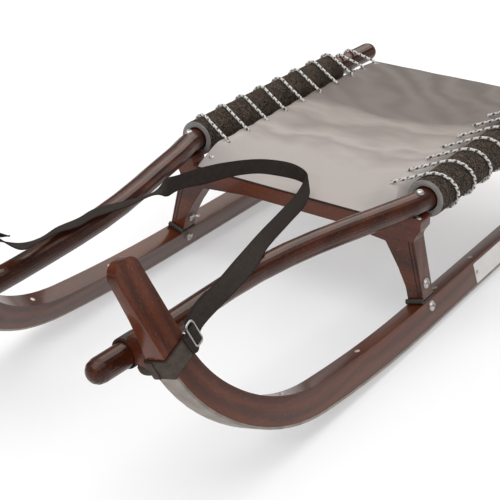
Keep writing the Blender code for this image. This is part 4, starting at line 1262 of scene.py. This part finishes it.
addPiece("blankPlate", plateMesh(), makePlateMaterial(), 25)
for index, station in enumerate((plate["front"] + plate["screwInset"], plate["rear"] - plate["screwInset"])):
    spot = leanTurn @ Vector((station, plate["screwUp"], runner["width"] + plate["thick"]))
    addPiece("plateScrew%d" % index, turnedMesh("plateScrew", bolt["screw"], spot, lean), boltSteel, 30)
print("plate made")

light = {"sky": 0.82, "air": (0.985, 0.99, 1.0), "floor": (0.955, 0.957, 0.96), "fleck": (0.85, 0.85, 0.85),
         "glow": 0.36, "floorSize": 30,
         "mirrored": [(0.10, (0.72, 0.71, 0.70)), (0.36, (0.09, 0.085, 0.08))], "mirroredReach": 4.5,
         "studio": [(0.0, (0.72, 0.71, 0.70)), (0.10, (0.62, 0.61, 0.60)), (0.17, (0.09, 0.085, 0.08)),
                    (0.50, (0.12, 0.115, 0.11)), (0.70, (0.62, 0.60, 0.58)), (0.85, (1.0, 1.0, 1.0))],
         "lamps": (("overhead", (-0.25, -0.75, 2.9), (0, 0, 0.1), 2.4, 24, (1, 1, 1)),
                   ("rear", (-0.50, 2.3, 2.1), (0, 0, 0.1), 2.5, 23, (1.0, 0.91, 0.84)),
                   ("front", (0.15, -2.4, 1.7), (0, -0.2, 0.15), 0.30, 7, (1, 1, 1)))}


def makeFloor():
    bpy.ops.mesh.primitive_plane_add(size=light["floorSize"])
    floor = bpy.context.object
    floor.name = "studioFloor"
    mat, tree, shader = newMaterial("studioFloor", Roughness=0.9, Emission_Strength=light["glow"])
    mirrored = addNode(tree, "ShaderNodeLightPath").outputs["Is Glossy Ray"]
    place = objectPlace(tree)
    away = addNode(tree, "ShaderNodeVectorMath", operation="LENGTH")
    tree.links.new(place, away.inputs[0])
    away = maths(tree, "DIVIDE", away.outputs["Value"], light["mirroredReach"], clamp=True)
    paper = cloud(tree, place, 9.0, 2)
    colour = mixColour(tree, times(tree, paper, 0.02), light["floor"], light["fleck"])
    colour = mixColour(tree, mirrored, colour, ramp(tree, away, light["mirrored"]))
    plug(tree, shader, Emission_Color=colour, Base_Color=mixColour(tree, light["glow"], colour, (0, 0, 0)))
    floor.data.materials.append(mat)


def areaLight(name, place, target, size, power, colour):
    data = bpy.data.lights.new(name, "AREA")
    data.shape, data.size, data.energy, data.color = "DISK", size, power, colour
    lamp = linked(name, data)
    lamp.location = place
    lamp.rotation_euler = (Vector(target) - Vector(place)).to_track_quat("-Z", "Y").to_euler()


def makeLight():
    world = bpy.data.worlds.new("studioSky")
    bpy.context.scene.world = world
    world.use_nodes = True
    tree = world.node_tree
    back = tree.nodes["Background"]
    back.inputs["Strength"].default_value = light["sky"]
    up = axesOf(tree, addNode(tree, "ShaderNodeTexCoord").outputs["Generated"])[2]
    mirrored = addNode(tree, "ShaderNodeLightPath").outputs["Is Glossy Ray"]
    studio = ramp(tree, up, light["studio"])
    tree.links.new(mixColour(tree, mirrored, light["air"], studio), back.inputs["Color"])
    for lamp in light["lamps"]:
        areaLight(*lamp)


makeFloor()
makeLight()
bpy.context.scene.view_settings.view_transform = "Standard"
print("floor and light set")
